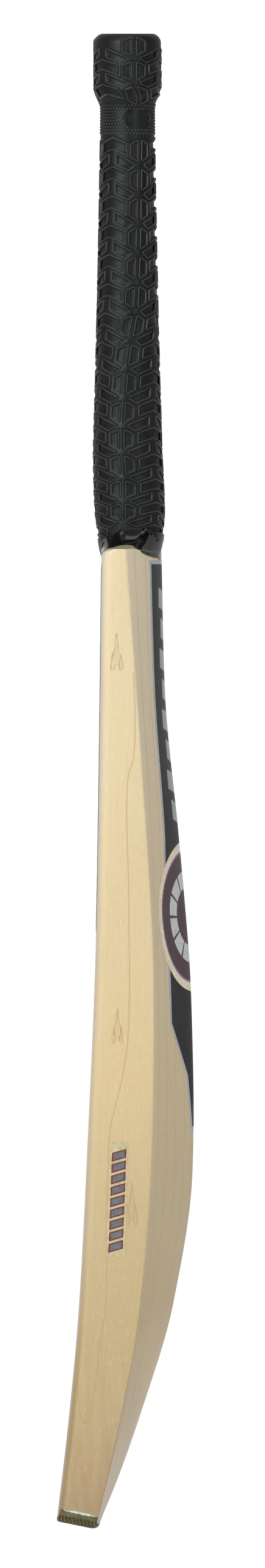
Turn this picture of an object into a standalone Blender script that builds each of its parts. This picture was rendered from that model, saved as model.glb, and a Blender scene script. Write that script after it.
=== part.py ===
"""Cricket bat: willow blade, spliced cane handle, twine binding, rubber grip, grip tape,
toe guard and stickers.

Metres, +Z up. The origin is on the centre line of the handle, level with the lowest point
of the toe. The face of the blade looks along -Y, its spine along +Y, its edges along X.
"""

import math

import bmesh
import bpy
from mathutils import Matrix, Vector

# ---------------------------------------------------------------- overall sizes
TOTAL_LENGTH = 0.850
BLADE_LENGTH = 0.557
BLADE_WIDTH = 0.108
EDGE_DEPTH = 0.0376
SPINE_DEPTH = 0.0603
FACE_TO_AXIS = 0.0147
FACE_SWEEP = 0.0260

# ---------------------------------------------------------------- blade details
FACE_BOW = 0.0020
FACE_CORNER_RADIUS = 0.0050
SPINE_ROUNDING = 0.0080
SHOULDER_RISE = 0.0038
SHOULDER_RISE_POWER = 1.5
SHOULDER_BLEND = 0.0100
SHOULDER_FACE_RADIUS = 0.0045
SHOULDER_FACE_TURN = math.radians(75)

# Shapes along the blade: (share of the blade's length above the toe, share of the size).
FACE_SWEEP_SHAPE = (
    (0.0, 1.0),
    (0.12, 0.70),
    (0.23, 0.49),
    (0.40, 0.30),
    (0.60, 0.125),
    (0.80, 0.05),
    (1.0, 0.0),
)
EDGE_SHAPE = ((0.0, 0.62), (0.10, 0.79), (0.22, 0.94), (0.36, 1.0), (0.55, 0.92), (0.76, 0.69), (1.0, 0.385))
SPINE_SHAPE = (
    (0.0, 0.385),
    (0.05, 0.52),
    (0.12, 0.675),
    (0.23, 0.885),
    (0.36, 1.0),
    (0.53, 0.92),
    (0.70, 0.765),
    (0.86, 0.605),
    (1.0, 0.56),
)
# Power of the slope from spine to ridge: 1 is straight, less is hollow, more is full.
BACK_POWER_SHAPE = ((0.0, 1.2), (0.15, 1.0), (0.45, 0.95), (0.63, 0.85), (0.72, 1.30), (1.0, 1.80))

# ---------------------------------------------------------------- splice and handle core
GLUE_GAP = 0.0003
SPLICE_LENGTH = 0.150
SPLICE_TIP_WIDTH = 0.0070
CORE_FOOT_DEPTH = 0.0325
CORE_FOOT_WIDTH = 0.0300
CORE_SWELL_DEPTH = 0.0339
CORE_SWELL_WIDTH = 0.0284
CORE_NECK_DEPTH = 0.0249
CORE_NECK_WIDTH = 0.0235
CORE_KNOB_DEPTH = 0.0324
CORE_KNOB_WIDTH = 0.0300
CORE_END_RADIUS = 0.0040
CORE_FOOT_SETBACK = 0.0022
CORE_SHOULDER_SETBACK = 0.0020
SWELL_ABOVE_SHOULDER = 0.032
NECK_BELOW_TOP = 0.043
KNOB_BELOW_TOP = 0.031
SETBACK_ABOVE_SHOULDER = 0.055
# Share of the way from swell to neck, and how much of the swell is left there.
HANDLE_TAPER = ((0.14, 0.88), (0.33, 0.61), (0.53, 0.38), (0.81, 0.11))

CANE_SLIP_WIDTH = 0.0092
CANE_LAYER_PITCH = 0.0070
INSERT_THICKNESS = 0.0015

# ---------------------------------------------------------------- binding, grip and tape
FIT_GAP = 0.0003
BINDING_THICKNESS = 0.0007
GRIP_WALL = 0.0020
GRIP_LIP = 0.0018
GRIP_END_WALL = 0.0008
GRIP_END_TAPER = 0.0160
GRIP_RIM_RADIUS = 0.0055
GRIP_OPENING_INSET = 0.0065
GRIP_CLEAR_OF_WILLOW = 0.0007
TAPE_THICKNESS = 0.0007
TAPE_LAP = 0.0070
TAPE_BELOW_SHOULDER = 0.0055
TAPE_BELLY = 0.0016

# ---------------------------------------------------------------- toe guard
GUARD_THICKNESS = 0.0030
GUARD_HEIGHT = 0.0068
GUARD_CORNER_RADIUS = 0.0120
GUARD_INNER_RADIUS = 0.0080
GUARD_END_SETBACK = 0.0010
TOE_OVERSIZE = 0.0005
TOE_TILT = math.radians(11.5)

# ---------------------------------------------------------------- stickers
STICKER_GAP = 0.0003
STICKER_THICKNESS = 0.0003
LABEL_BELOW_SHOULDER = 0.0065
LABEL_WIDTH = 0.064
EMBLEM_BELOW_SHOULDER = 0.209
EMBLEM_RADIUS = 0.0422
TAIL_LENGTH = 0.121
TAIL_STRAIGHT = 0.060
TAIL_WAIST = 0.090
TAIL_WAIST_WIDTH = 0.0252
TAIL_END_WIDTH = 0.0130
FACE_LABEL_BELOW_SHOULDER = 0.008
FACE_LABEL_LENGTH = 0.210
EDGE_LABEL_BELOW_SHOULDER = 0.3373
EDGE_LABEL_LENGTH = 0.0647
EDGE_LABEL_WIDTH = 0.0107
EDGE_LABEL_LEAN = 0.0024

# ---------------------------------------------------------------- fineness of the meshes
FACE_STEPS = 10
CORNER_STEPS = 3
BACK_STEPS = 20
BLADE_RINGS = 26
SHOULDER_RINGS = 4
OVAL_SIDES = 24
RING_SPACING = 0.0010
STICKER_CELL_HEIGHT = (BLADE_LENGTH - SHOULDER_BLEND) / BLADE_RINGS
STICKER_CELL_WIDTH = BLADE_WIDTH / BACK_STEPS
SHARP_ANGLE = math.radians(30)

# How far hidden cutters reach past the bat.
CUTTER_REACH = 0.2
BELOW_TOE = 0.004
PAST_CORE = 0.01
WELD_DISTANCE = 0.00002

SHOULDER_HEIGHT = BLADE_LENGTH
HALF_WIDTH = BLADE_WIDTH / 2
CORE_TOP = TOTAL_LENGTH - GRIP_LIP - FIT_GAP
GRIP_BOTTOM = SHOULDER_HEIGHT + SHOULDER_RISE + GRIP_CLEAR_OF_WILLOW
TAPE_BOTTOM = SHOULDER_HEIGHT - TAPE_BELOW_SHOULDER
TAPE_TOP = GRIP_BOTTOM + TAPE_LAP
BINDING_OUTER = FIT_GAP + BINDING_THICKNESS
GRIP_INNER = BINDING_OUTER + FIT_GAP
GRIP_OUTER = GRIP_INNER + GRIP_WALL


# ================================================================ curves
def smooth_curve(points):
    """Return a function through (place, value) points that never overshoots them."""
    places = [place for place, value in points]
    values = [value for place, value in points]
    slopes = [(values[i + 1] - values[i]) / (places[i + 1] - places[i]) for i in range(len(points) - 1)]
    tangents = [slopes[0]]
    for before, after in zip(slopes, slopes[1:]):
        same_way = before * after > 0
        tangents.append(2 * before * after / (before + after) if same_way else 0.0)
    tangents.append(slopes[-1])

    def value_at(place):
        place = min(max(place, places[0]), places[-1])
        i = 0
        while i < len(slopes) - 1 and place > places[i + 1]:
            i += 1
        span = places[i + 1] - places[i]
        t = (place - places[i]) / span
        rise = values[i] * (1 + 2 * t) * (1 - t) ** 2 + values[i + 1] * t * t * (3 - 2 * t)
        return rise + span * (tangents[i] * t * (1 - t) ** 2 - tangents[i + 1] * t * t * (1 - t))

    return value_at


face_sweep = smooth_curve(FACE_SWEEP_SHAPE)
edge_share = smooth_curve(EDGE_SHAPE)
spine_share = smooth_curve(SPINE_SHAPE)
back_power = smooth_curve(BACK_POWER_SHAPE)


def face_line(z):
    """Y of the face at its middle."""
    return -FACE_TO_AXIS - FACE_SWEEP * face_sweep(z / BLADE_LENGTH)


def face_surface(x, z):
    return face_line(z) + FACE_BOW * (x / HALF_WIDTH) ** 2


def spine_line(z):
    return face_line(z) + SPINE_DEPTH * spine_share(z / BLADE_LENGTH)


def ridge_line(z):
    """Y of the ridge where the back meets an edge."""
    return face_line(z) + EDGE_DEPTH * edge_share(z / BLADE_LENGTH)


def back_surface(x, z):
    across = math.hypot(x, SPINE_ROUNDING) - SPINE_ROUNDING
    full = math.hypot(HALF_WIDTH, SPINE_ROUNDING) - SPINE_ROUNDING
    share = min(across / full, 1.0) ** back_power(z / BLADE_LENGTH)
    return spine_line(z) - (spine_line(z) - ridge_line(z)) * share


def shoulder_rise(x):
    """How far the shoulder has climbed from the edge towards the handle."""
    foot = CORE_FOOT_WIDTH / 2
    share = (HALF_WIDTH - abs(x)) / (HALF_WIDTH - foot)
    return SHOULDER_RISE * min(max(share, 0.0), 1.0) ** SHOULDER_RISE_POWER


def core_curve(foot, swell, neck, knob):
    """Size of the cane handle along its height, before its top edge is rounded."""
    swell_height = SHOULDER_HEIGHT + SWELL_ABOVE_SHOULDER
    neck_height = TOTAL_LENGTH - NECK_BELOW_TOP
    points = [(SHOULDER_HEIGHT, foot), (swell_height, swell)]
    for way, left in HANDLE_TAPER:
        height = swell_height + way * (neck_height - swell_height)
        points.append((height, neck + left * (swell - neck)))
    points += [(neck_height, neck), (TOTAL_LENGTH - KNOB_BELOW_TOP, knob), (TOTAL_LENGTH, knob)]
    return smooth_curve(points)


core_depth = core_curve(CORE_FOOT_DEPTH, CORE_SWELL_DEPTH, CORE_NECK_DEPTH, CORE_KNOB_DEPTH)
core_width = core_curve(CORE_FOOT_WIDTH, CORE_SWELL_WIDTH, CORE_NECK_WIDTH, CORE_KNOB_WIDTH)
core_setback = smooth_curve(
    (
        (TAPE_BOTTOM, CORE_FOOT_SETBACK),
        (SHOULDER_HEIGHT, CORE_SHOULDER_SETBACK),
        (SHOULDER_HEIGHT + SETBACK_ABOVE_SHOULDER, 0.0),
    )
)


def handle_heights(bottom, top):
    """Heights at which every layer of the handle has a ring, so that the layers stay parallel."""
    anchors = (
        (SHOULDER_HEIGHT, SHOULDER_HEIGHT + SWELL_ABOVE_SHOULDER, 3),
        (SHOULDER_HEIGHT + SWELL_ABOVE_SHOULDER, TOTAL_LENGTH - NECK_BELOW_TOP, 8),
        (TOTAL_LENGTH - NECK_BELOW_TOP, TOTAL_LENGTH - KNOB_BELOW_TOP, 4),
    )
    heights = [start + (end - start) * i / count for start, end, count in anchors for i in range(count)]
    heights.append(TOTAL_LENGTH - KNOB_BELOW_TOP)
    inside = [height for height in heights if bottom + RING_SPACING < height < top - RING_SPACING]
    return [bottom] + inside + [top]


# ================================================================ mesh helpers
def clear_scene():
    for old in list(bpy.data.objects):
        bpy.data.objects.remove(old, do_unlink=True)


def material(name, colour, roughness, metallic=0.0):
    made = bpy.data.materials.new(name)
    made.use_nodes = True
    shader = made.node_tree.nodes["Principled BSDF"]
    shader.inputs["Base Color"].default_value = (*colour, 1.0)
    shader.inputs["Roughness"].default_value = roughness
    shader.inputs["Metallic"].default_value = metallic
    return made


def add_object(name, bm, look=None):
    """Turn a bmesh into an object; without a look it is a hidden guide."""
    bmesh.ops.recalc_face_normals(bm, faces=bm.faces)
    mesh = bpy.data.meshes.new(name)
    bm.to_mesh(mesh)
    bm.free()
    mesh.shade_smooth()
    mesh.set_sharp_from_angle(angle=SHARP_ANGLE)
    made = bpy.data.objects.new(name, mesh)
    bpy.context.scene.collection.objects.link(made)
    if look is None:
        made.hide_render = True
        made.display_type = "WIRE"
    else:
        mesh.materials.append(look)
    return made


def boolean(target, operation, other):
    step = target.modifiers.new(operation.title(), "BOOLEAN")
    step.operation = operation
    step.object = other
    step.solver = "EXACT"


def join_rings(bm, rings, closed):
    """Skin rings of equal length; a closed skin also joins the last ring to the first."""
    count = len(rings[0])
    pairs = list(zip(rings, rings[1:]))
    if closed:
        pairs.append((rings[-1], rings[0]))
    for lower, upper in pairs:
        for i in range(count):
            j = (i + 1) % count
            bm.faces.new((lower[i], lower[j], upper[j], upper[i]))


def oval_ring(bm, z, offset):
    """One ring of vertices around the handle, at an offset from the bare cane."""
    half_x = core_width(z) / 2 + offset
    half_y = core_depth(z) / 2 + offset
    middle = core_setback(z)
    ring = []
    for i in range(OVAL_SIDES):
        turn = 2 * math.pi * i / OVAL_SIDES
        ring.append(bm.verts.new((half_x * math.cos(turn), middle + half_y * math.sin(turn), z)))
    return ring


def arc(centre_z, centre_offset, radius, start, end, steps):
    """(height, offset) points on an arc; angle 0 points outwards and 90 degrees points up."""
    points = []
    for i in range(steps + 1):
        angle = math.radians(start + (end - start) * i / steps)
        points.append((centre_z + radius * math.sin(angle), centre_offset + radius * math.cos(angle)))
    return points


def sleeve(name, outline, look):
    """Closed (height, offset) outline carried around the handle."""
    bm = bmesh.new()
    rings = [oval_ring(bm, z, offset) for z, offset in outline]
    join_rings(bm, rings, closed=True)
    return add_object(name, bm, look)


def prism(outline, half_depth):
    """(x, z) outline pushed from -half_depth to +half_depth along Y."""
    bm = bmesh.new()
    front = [bm.verts.new((x, -half_depth, z)) for x, z in outline]
    back = [bm.verts.new((x, half_depth, z)) for x, z in outline]
    join_rings(bm, [front, back], closed=False)
    bm.faces.new(front)
    bm.faces.new(reversed(back))
    return bm


# ================================================================ blade
def blade_section(z, face_inset, grow):
    """Points around the blade at one height, from the left face corner round to the left ridge."""
    flat_half = HALF_WIDTH - FACE_CORNER_RADIUS
    right = []
    corner_y = face_surface(flat_half, z) + face_inset + FACE_CORNER_RADIUS
    for i in range(1, CORNER_STEPS + 1):
        angle = math.radians(90) * i / CORNER_STEPS
        x = flat_half + (FACE_CORNER_RADIUS + grow) * math.sin(angle)
        right.append((x, corner_y - (FACE_CORNER_RADIUS + grow) * math.cos(angle)))
    face = []
    for i in range(FACE_STEPS + 1):
        x = flat_half * (2 * i / FACE_STEPS - 1)
        face.append((x, face_surface(x, z) + face_inset - grow))
    back = []
    for i in range(BACK_STEPS + 1):
        x = HALF_WIDTH * (1 - 2 * i / BACK_STEPS)
        back.append((x * (1 + grow / HALF_WIDTH), back_surface(x, z) + grow))
    left = [(-x, y) for x, y in reversed(right)]
    return face + right + back + left


def blade_body(grow=0.0):
    """Whole willow shape with no slot and an uncut toe, grown outwards by a clearance."""
    heights = [-BELOW_TOE, 0.0]
    loft_top = SHOULDER_HEIGHT - SHOULDER_BLEND
    heights += [loft_top * i / BLADE_RINGS for i in range(1, BLADE_RINGS + 1)]
    levels = [(height, 0.0, 0.0) for height in heights]
    straight = SHOULDER_BLEND - SHOULDER_FACE_RADIUS
    levels.append((loft_top + straight, 0.0, straight / SHOULDER_BLEND))
    for i in range(1, SHOULDER_RINGS + 1):
        angle = SHOULDER_FACE_TURN * i / SHOULDER_RINGS
        height = loft_top + straight + SHOULDER_FACE_RADIUS * math.sin(angle) / math.sin(SHOULDER_FACE_TURN)
        inset = SHOULDER_FACE_RADIUS * (1 - math.cos(angle))
        levels.append((height, inset, (height - loft_top) / SHOULDER_BLEND))
    bm = bmesh.new()
    rings = []
    for height, inset, share in levels:
        section = blade_section(height, inset, grow)
        top_grow = grow if share == levels[-1][2] else 0.0
        lifted = [(x, y, height + share * shoulder_rise(x) + top_grow) for x, y in section]
        rings.append([bm.verts.new(place) for place in lifted])
    join_rings(bm, rings, closed=False)
    bm.faces.new(reversed(rings[0]))
    cap = bm.faces.new(rings[-1])
    bmesh.ops.triangulate(bm, faces=[cap])
    return bm


def splice_outline(gap, top, overshoot):
    """V of the splice, seen from the face, grown sideways by a gap."""
    half_foot = CORE_FOOT_WIDTH / 2 + gap
    half_tip = SPLICE_TIP_WIDTH / 2 + gap
    tip_height = SHOULDER_HEIGHT - SPLICE_LENGTH - overshoot
    return [
        (-half_tip, tip_height),
        (half_tip, tip_height),
        (half_foot, TAPE_BOTTOM),
        (half_foot, top),
        (-half_foot, top),
        (-half_foot, TAPE_BOTTOM),
    ]


def toe_curve(half_width, bottom, radius, top, steps=6):
    """Right half of a U around the toe, from its lowest middle point to its upper end."""
    points = []
    centre_x = half_width - radius
    end_angle = math.asin(min((bottom + radius - top) / radius, 1.0))
    for i in range(steps + 1):
        angle = math.radians(90) - (math.radians(90) - end_angle) * i / steps
        points.append((centre_x + radius * math.cos(angle), bottom + radius - radius * math.sin(angle)))
    return points


def both_sides(right_half):
    return [(-x, z) for x, z in reversed(right_half)] + right_half


def tilt_to_toe(bm):
    """Lean a toe prism so that its underside is the sole of the toe, lowest at the back."""
    sole_back = spine_line(0.0)
    lean = Matrix.Translation((0.0, sole_back, 0.0)) @ Matrix.Rotation(-TOE_TILT, 4, "X")
    bmesh.ops.transform(bm, matrix=lean, verts=bm.verts)
    return bm


def make_blade(look):
    blade = add_object("blade", blade_body(), look)
    high = SHOULDER_HEIGHT + 2 * SHOULDER_RISE
    slot = add_object("splice_cutter", prism(splice_outline(GLUE_GAP, high, GLUE_GAP), CUTTER_REACH))
    boolean(blade, "DIFFERENCE", slot)
    seat_bottom = GUARD_THICKNESS + GLUE_GAP
    seat_top = GUARD_HEIGHT + GLUE_GAP
    seat_half = HALF_WIDTH - GUARD_END_SETBACK - GLUE_GAP
    seat = both_sides(toe_curve(seat_half, seat_bottom, GUARD_INNER_RADIUS, seat_top))
    far = BLADE_WIDTH
    waste = seat + [(far, seat_top), (far, -far), (-far, -far), (-far, seat_top)]
    boolean(blade, "DIFFERENCE", add_object("toe_cutter", tilt_to_toe(prism(waste, CUTTER_REACH))))
    corner = both_sides(toe_curve(HALF_WIDTH + TOE_OVERSIZE, 0.0, GUARD_CORNER_RADIUS, GUARD_CORNER_RADIUS))
    corner += [(HALF_WIDTH + TOE_OVERSIZE, far), (far, far), (far, -far)]
    corner += [(-far, -far), (-far, far), (-HALF_WIDTH - TOE_OVERSIZE, far)]
    boolean(blade, "DIFFERENCE", add_object("corner_cutter", tilt_to_toe(prism(corner, CUTTER_REACH))))
    return blade


def make_toe_guard(look, body):
    outer = toe_curve(HALF_WIDTH + TOE_OVERSIZE, 0.0, GUARD_CORNER_RADIUS, GUARD_HEIGHT)
    inner = toe_curve(HALF_WIDTH - GUARD_END_SETBACK, GUARD_THICKNESS, GUARD_INNER_RADIUS, GUARD_HEIGHT)
    outline = both_sides(outer) + list(reversed(both_sides(inner)))
    guard = add_object("toe_guard", tilt_to_toe(prism(outline, CUTTER_REACH)), look)
    boolean(guard, "INTERSECT", body)


# ================================================================ handle
def make_core_guide(body):
    """Hidden shape of the whole cane handle: its oval shaft and its splice wedge."""
    bm = bmesh.new()
    edge_start = CORE_TOP - CORE_END_RADIUS
    rings = [oval_ring(bm, z, 0.0) for z in handle_heights(TAPE_BOTTOM, edge_start)]
    for z, offset in arc(edge_start, -CORE_END_RADIUS, CORE_END_RADIUS, 0, 90, 3)[1:]:
        rings.append(oval_ring(bm, z, offset))
    join_rings(bm, rings, closed=False)
    bm.faces.new(reversed(rings[0]))
    bm.faces.new(rings[-1])
    shaft = add_object("core_guide", bm)
    wedge = add_object("wedge_guide", prism(splice_outline(0.0, SHOULDER_HEIGHT, 0.0), CUTTER_REACH))
    boolean(wedge, "INTERSECT", body)
    boolean(shaft, "UNION", wedge)
    return shaft


def slab(name, x_range, y_range, look, core):
    """Piece of the core between two X and two Y limits."""
    low = SHOULDER_HEIGHT - SPLICE_LENGTH - PAST_CORE
    high = TOTAL_LENGTH + PAST_CORE
    bm = bmesh.new()
    bmesh.ops.create_cube(bm, size=1.0)
    size = Vector((x_range[1] - x_range[0], y_range[1] - y_range[0], high - low))
    middle = Vector((sum(x_range) / 2, sum(y_range) / 2, (high + low) / 2))
    bmesh.ops.scale(bm, vec=size, verts=bm.verts)
    bmesh.ops.translate(bm, vec=middle, verts=bm.verts)
    made = add_object(name, bm, look)
    boolean(made, "INTERSECT", core)


def make_core(cane, rubber, core):
    """Four cane layers of three slips each, with a rubber strip between layers."""
    far = CUTTER_REACH
    side = CANE_SLIP_WIDTH / 2
    columns = {
        "left": (-far, -side - GLUE_GAP / 2),
        "middle": (-side + GLUE_GAP / 2, side - GLUE_GAP / 2),
        "right": (side + GLUE_GAP / 2, far),
    }
    half_insert = INSERT_THICKNESS / 2
    inserts = {"front": -CANE_LAYER_PITCH, "centre": 0.0, "rear": CANE_LAYER_PITCH}
    for place, y in inserts.items():
        slab("insert_" + place, (-far, far), (y - half_insert, y + half_insert), rubber, core)
    reach = half_insert + GLUE_GAP
    layers = {
        "front": (-far, -CANE_LAYER_PITCH - reach),
        "mid_front": (-CANE_LAYER_PITCH + reach, -reach),
        "mid_rear": (reach, CANE_LAYER_PITCH - reach),
        "rear": (CANE_LAYER_PITCH + reach, far),
    }
    for layer, y_range in layers.items():
        for column, x_range in columns.items():
            slab("cane_" + layer + "_" + column, x_range, y_range, cane, core)


def make_binding(look):
    heights = handle_heights(GRIP_BOTTOM, CORE_TOP - CORE_END_RADIUS)
    outline = [(z, BINDING_OUTER) for z in heights] + [(z, FIT_GAP) for z in reversed(heights)]
    sleeve("twine_binding", outline, look)


def grip_outer(z):
    """Offset of the grip's outside, thinned towards its lower end."""
    share = min((z - GRIP_BOTTOM) / GRIP_END_TAPER, 1.0)
    return GRIP_INNER + GRIP_END_WALL + share * (GRIP_WALL - GRIP_END_WALL)


def make_grip(look):
    rim_start = TOTAL_LENGTH - GRIP_RIM_RADIUS
    outline = [(z, grip_outer(z)) for z in handle_heights(GRIP_BOTTOM, rim_start)]
    outline += arc(rim_start, GRIP_OUTER - GRIP_RIM_RADIUS, GRIP_RIM_RADIUS, 0, 90, 4)[1:]
    opening = -GRIP_OPENING_INSET
    outline += [(TOTAL_LENGTH, opening), (CORE_TOP + FIT_GAP, opening)]
    shelf = CORE_TOP + FIT_GAP - CORE_END_RADIUS
    outline += arc(shelf, GRIP_INNER - CORE_END_RADIUS, CORE_END_RADIUS, 90, 0, 3)
    outline += [(z, GRIP_INNER) for z in reversed(handle_heights(GRIP_BOTTOM, shelf))][1:]
    sleeve("rubber_grip", outline, look)


def make_tape(look, grown_body):
    """Band of tape that laps the grip's end and turns out onto the shoulders."""
    lap = FIT_GAP + TAPE_THICKNESS
    outer = [
        (TAPE_BOTTOM, lap),
        (SHOULDER_HEIGHT, TAPE_BELLY),
        (GRIP_BOTTOM, grip_outer(GRIP_BOTTOM) + lap),
        (TAPE_TOP, grip_outer(TAPE_TOP) + lap),
    ]
    inner = [
        (TAPE_TOP, grip_outer(TAPE_TOP) + FIT_GAP),
        (GRIP_BOTTOM - FIT_GAP, grip_outer(GRIP_BOTTOM) + FIT_GAP),
        (GRIP_BOTTOM - FIT_GAP, FIT_GAP),
        (TAPE_BOTTOM, FIT_GAP),
    ]
    tape = sleeve("grip_tape", outer + inner, look)
    boolean(tape, "DIFFERENCE", grown_body)
    weld = tape.modifiers.new("Weld", "WELD")
    weld.merge_threshold = WELD_DISTANCE


# ================================================================ stickers
def grid_lines(values, cell):
    """Multiples of a cell size that reach past both ends of some values."""
    first = math.floor(min(values) / cell) - 1
    last = math.ceil(max(values) / cell) + 1
    return [step * cell for step in range(first, last + 1)]


def rim(sheet):
    """Border of a grid of vertices, in order."""
    right = [row[-1] for row in sheet[1:-1]]
    left = [row[0] for row in reversed(sheet[1:-1])]
    return sheet[0] + right + list(reversed(sheet[-1])) + left


def sticker(name, outline, place, outward, look):
    """Thin skin on the wood, kept only inside an (x, z) outline.

    place(x, z) returns the point on the blade, outward is the direction away from it.
    """
    columns = grid_lines([x for x, z in outline], STICKER_CELL_WIDTH)
    rows = grid_lines([z for x, z in outline], STICKER_CELL_HEIGHT)
    bm = bmesh.new()
    sheets = []
    for lift in (STICKER_GAP, STICKER_GAP + STICKER_THICKNESS):
        shift = Vector(outward) * lift
        sheets.append([[bm.verts.new(Vector(place(x, z)) + shift) for x in columns] for z in rows])
    for sheet in sheets:
        for low, high in zip(sheet, sheet[1:]):
            for i in range(len(columns) - 1):
                bm.faces.new((low[i], low[i + 1], high[i + 1], high[i]))
    join_rings(bm, [rim(sheet) for sheet in sheets], closed=False)
    bmesh.ops.triangulate(bm, faces=bm.faces)
    made = add_object(name, bm, look)
    cutter = prism(outline, CUTTER_REACH)
    if outward[0]:
        quarter_turn = Matrix.Rotation(math.radians(90), 3, "Z")
        bmesh.ops.rotate(cutter, matrix=quarter_turn, verts=cutter.verts)
    boolean(made, "INTERSECT", add_object(name + "_cutter", cutter))
    weld = made.modifiers.new("Weld", "WELD")
    weld.merge_threshold = WELD_DISTANCE


def on_back(x, z):
    return (x, back_surface(x, z), z)


def on_face(x, z):
    return (x, face_surface(x, z), z)


def on_right_edge(y, z):
    """The edge sticker's outline is drawn as (y, z)."""
    return (HALF_WIDTH, y, z)


def circle_part(centre_z, radius, start, end, steps):
    points = []
    for i in range(steps + 1):
        angle = math.radians(start + (end - start) * i / steps)
        points.append((radius * math.cos(angle), centre_z + radius * math.sin(angle)))
    return points


def make_stickers(label_look, emblem_look, edge_look):
    out_back = (0, 1, 0)
    out_face = (0, -1, 0)
    half = LABEL_WIDTH / 2
    centre = SHOULDER_HEIGHT - EMBLEM_BELOW_SHOULDER
    clear = EMBLEM_RADIUS + STICKER_GAP
    reach = math.degrees(math.acos(half / clear))

    top = SHOULDER_HEIGHT - LABEL_BELOW_SHOULDER
    label = [(half, top), (-half, top)] + circle_part(centre, clear, 180 - reach, reach, 14)
    sticker("back_label", label, on_back, out_back, label_look)

    sticker("back_emblem", circle_part(centre, EMBLEM_RADIUS, 0, 350, 35), on_back, out_back, emblem_look)

    tail = circle_part(centre, clear, -reach, -180 + reach, 14)
    tail += [
        (-half, centre - TAIL_STRAIGHT),
        (-TAIL_WAIST_WIDTH / 2, centre - TAIL_WAIST),
        (-TAIL_END_WIDTH / 2, centre - TAIL_LENGTH),
        (TAIL_END_WIDTH / 2, centre - TAIL_LENGTH),
        (TAIL_WAIST_WIDTH / 2, centre - TAIL_WAIST),
        (half, centre - TAIL_STRAIGHT),
    ]
    sticker("back_label_tail", tail, on_back, out_back, label_look)

    face_top = SHOULDER_HEIGHT - FACE_LABEL_BELOW_SHOULDER
    face_bottom = face_top - FACE_LABEL_LENGTH
    front = [(-half, face_bottom), (half, face_bottom), (half, face_top), (-half, face_top)]
    sticker("face_label", front, on_face, out_face, label_look)

    edge_top = SHOULDER_HEIGHT - EDGE_LABEL_BELOW_SHOULDER
    edge_bottom = edge_top - EDGE_LABEL_LENGTH
    middle = face_line((edge_top + edge_bottom) / 2) + EDGE_DEPTH / 2
    lean = EDGE_LABEL_LEAN / 2
    wide = EDGE_LABEL_WIDTH / 2
    side = [
        (middle - lean - wide, edge_bottom),
        (middle - lean + wide, edge_bottom),
        (middle + lean + wide, edge_top),
        (middle + lean - wide, edge_top),
    ]
    sticker("edge_label", side, on_right_edge, (1, 0, 0), edge_look)


# ================================================================ the bat
def build_bat():
    clear_scene()
    willow = material("willow", (0.80, 0.70, 0.47), 0.45)
    cane = material("cane", (0.72, 0.55, 0.32), 0.55)
    insert_rubber = material("insert_rubber", (0.05, 0.05, 0.05), 0.80)
    twine = material("twine", (0.78, 0.70, 0.52), 0.90)
    grip_rubber = material("grip_rubber", (0.025, 0.026, 0.024), 0.50)
    tape_film = material("tape_film", (0.015, 0.015, 0.016), 0.20)
    guard_rubber = material("guard_rubber", (0.11, 0.09, 0.03), 0.60)
    label_film = material("label_film", (0.05, 0.05, 0.05), 0.35)
    emblem_film = material("emblem_film", (0.09, 0.035, 0.04), 0.30)
    edge_film = material("edge_film", (0.62, 0.58, 0.42), 0.35)

    body = add_object("blade_guide", blade_body())
    grown_body = add_object("grown_blade_guide", blade_body(FIT_GAP))
    make_blade(willow)
    make_toe_guard(guard_rubber, body)
    make_core(cane, insert_rubber, make_core_guide(body))
    make_binding(twine)
    make_grip(grip_rubber)
    make_tape(tape_film, grown_body)
    make_stickers(label_film, emblem_film, edge_film)


build_bat()
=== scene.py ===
import math

import bmesh
import bpy
import numpy as np
from mathutils import Matrix, Vector, noise
from mathutils.bvhtree import BVHTree


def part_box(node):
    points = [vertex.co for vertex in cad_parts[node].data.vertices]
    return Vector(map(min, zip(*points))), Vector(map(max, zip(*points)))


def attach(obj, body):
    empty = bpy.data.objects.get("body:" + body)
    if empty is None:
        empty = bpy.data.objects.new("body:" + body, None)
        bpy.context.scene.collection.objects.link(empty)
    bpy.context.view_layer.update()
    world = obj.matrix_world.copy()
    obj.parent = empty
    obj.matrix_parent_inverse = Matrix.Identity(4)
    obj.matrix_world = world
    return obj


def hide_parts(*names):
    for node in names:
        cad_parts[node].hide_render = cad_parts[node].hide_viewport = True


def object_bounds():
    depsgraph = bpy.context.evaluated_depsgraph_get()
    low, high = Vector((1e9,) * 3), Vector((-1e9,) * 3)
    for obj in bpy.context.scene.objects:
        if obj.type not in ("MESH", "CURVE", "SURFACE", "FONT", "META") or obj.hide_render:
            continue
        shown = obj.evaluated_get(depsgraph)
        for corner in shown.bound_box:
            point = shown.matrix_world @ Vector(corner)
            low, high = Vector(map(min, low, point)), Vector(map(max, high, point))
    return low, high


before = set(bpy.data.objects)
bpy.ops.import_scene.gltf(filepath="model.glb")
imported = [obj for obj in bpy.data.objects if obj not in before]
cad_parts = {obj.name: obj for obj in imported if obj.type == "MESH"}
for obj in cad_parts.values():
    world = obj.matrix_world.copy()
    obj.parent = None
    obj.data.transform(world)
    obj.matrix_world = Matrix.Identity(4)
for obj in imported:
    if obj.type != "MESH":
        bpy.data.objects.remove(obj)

cad_low, cad_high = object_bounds()

# ---------------------------------------------------------------- sizes, in metres
MM = 0.001
TOTAL_LENGTH = cad_high[2]
BLADE_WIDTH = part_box("blade")[1][0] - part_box("blade")[0][0]
BLADE_LENGTH = 0.557
EDGE_DEPTH = 0.0376
SPINE_DEPTH = 0.0603
FACE_TO_AXIS = 0.0147
FACE_SWEEP = 0.0260
FACE_BOW = 0.0020
FACE_CORNER_RADIUS = 0.0050
RIDGE_RADIUS = 0.0009
SPINE_ROUNDING = 0.0080
SHOULDER_RISE = 0.0038
SHOULDER_ROLL = 0.0057
SHOULDER_BLEND = 0.0100
SHOULDER_FACE_RADIUS = 0.0045
SHOULDER_FACE_TURN = math.radians(75)
CREST_OFFSET = -0.0005
CREST_SHARE = 0.35
CREST_NARROWING = 0.012
BELOW_TOE = 0.004
HALF_WIDTH = BLADE_WIDTH / 2

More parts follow.
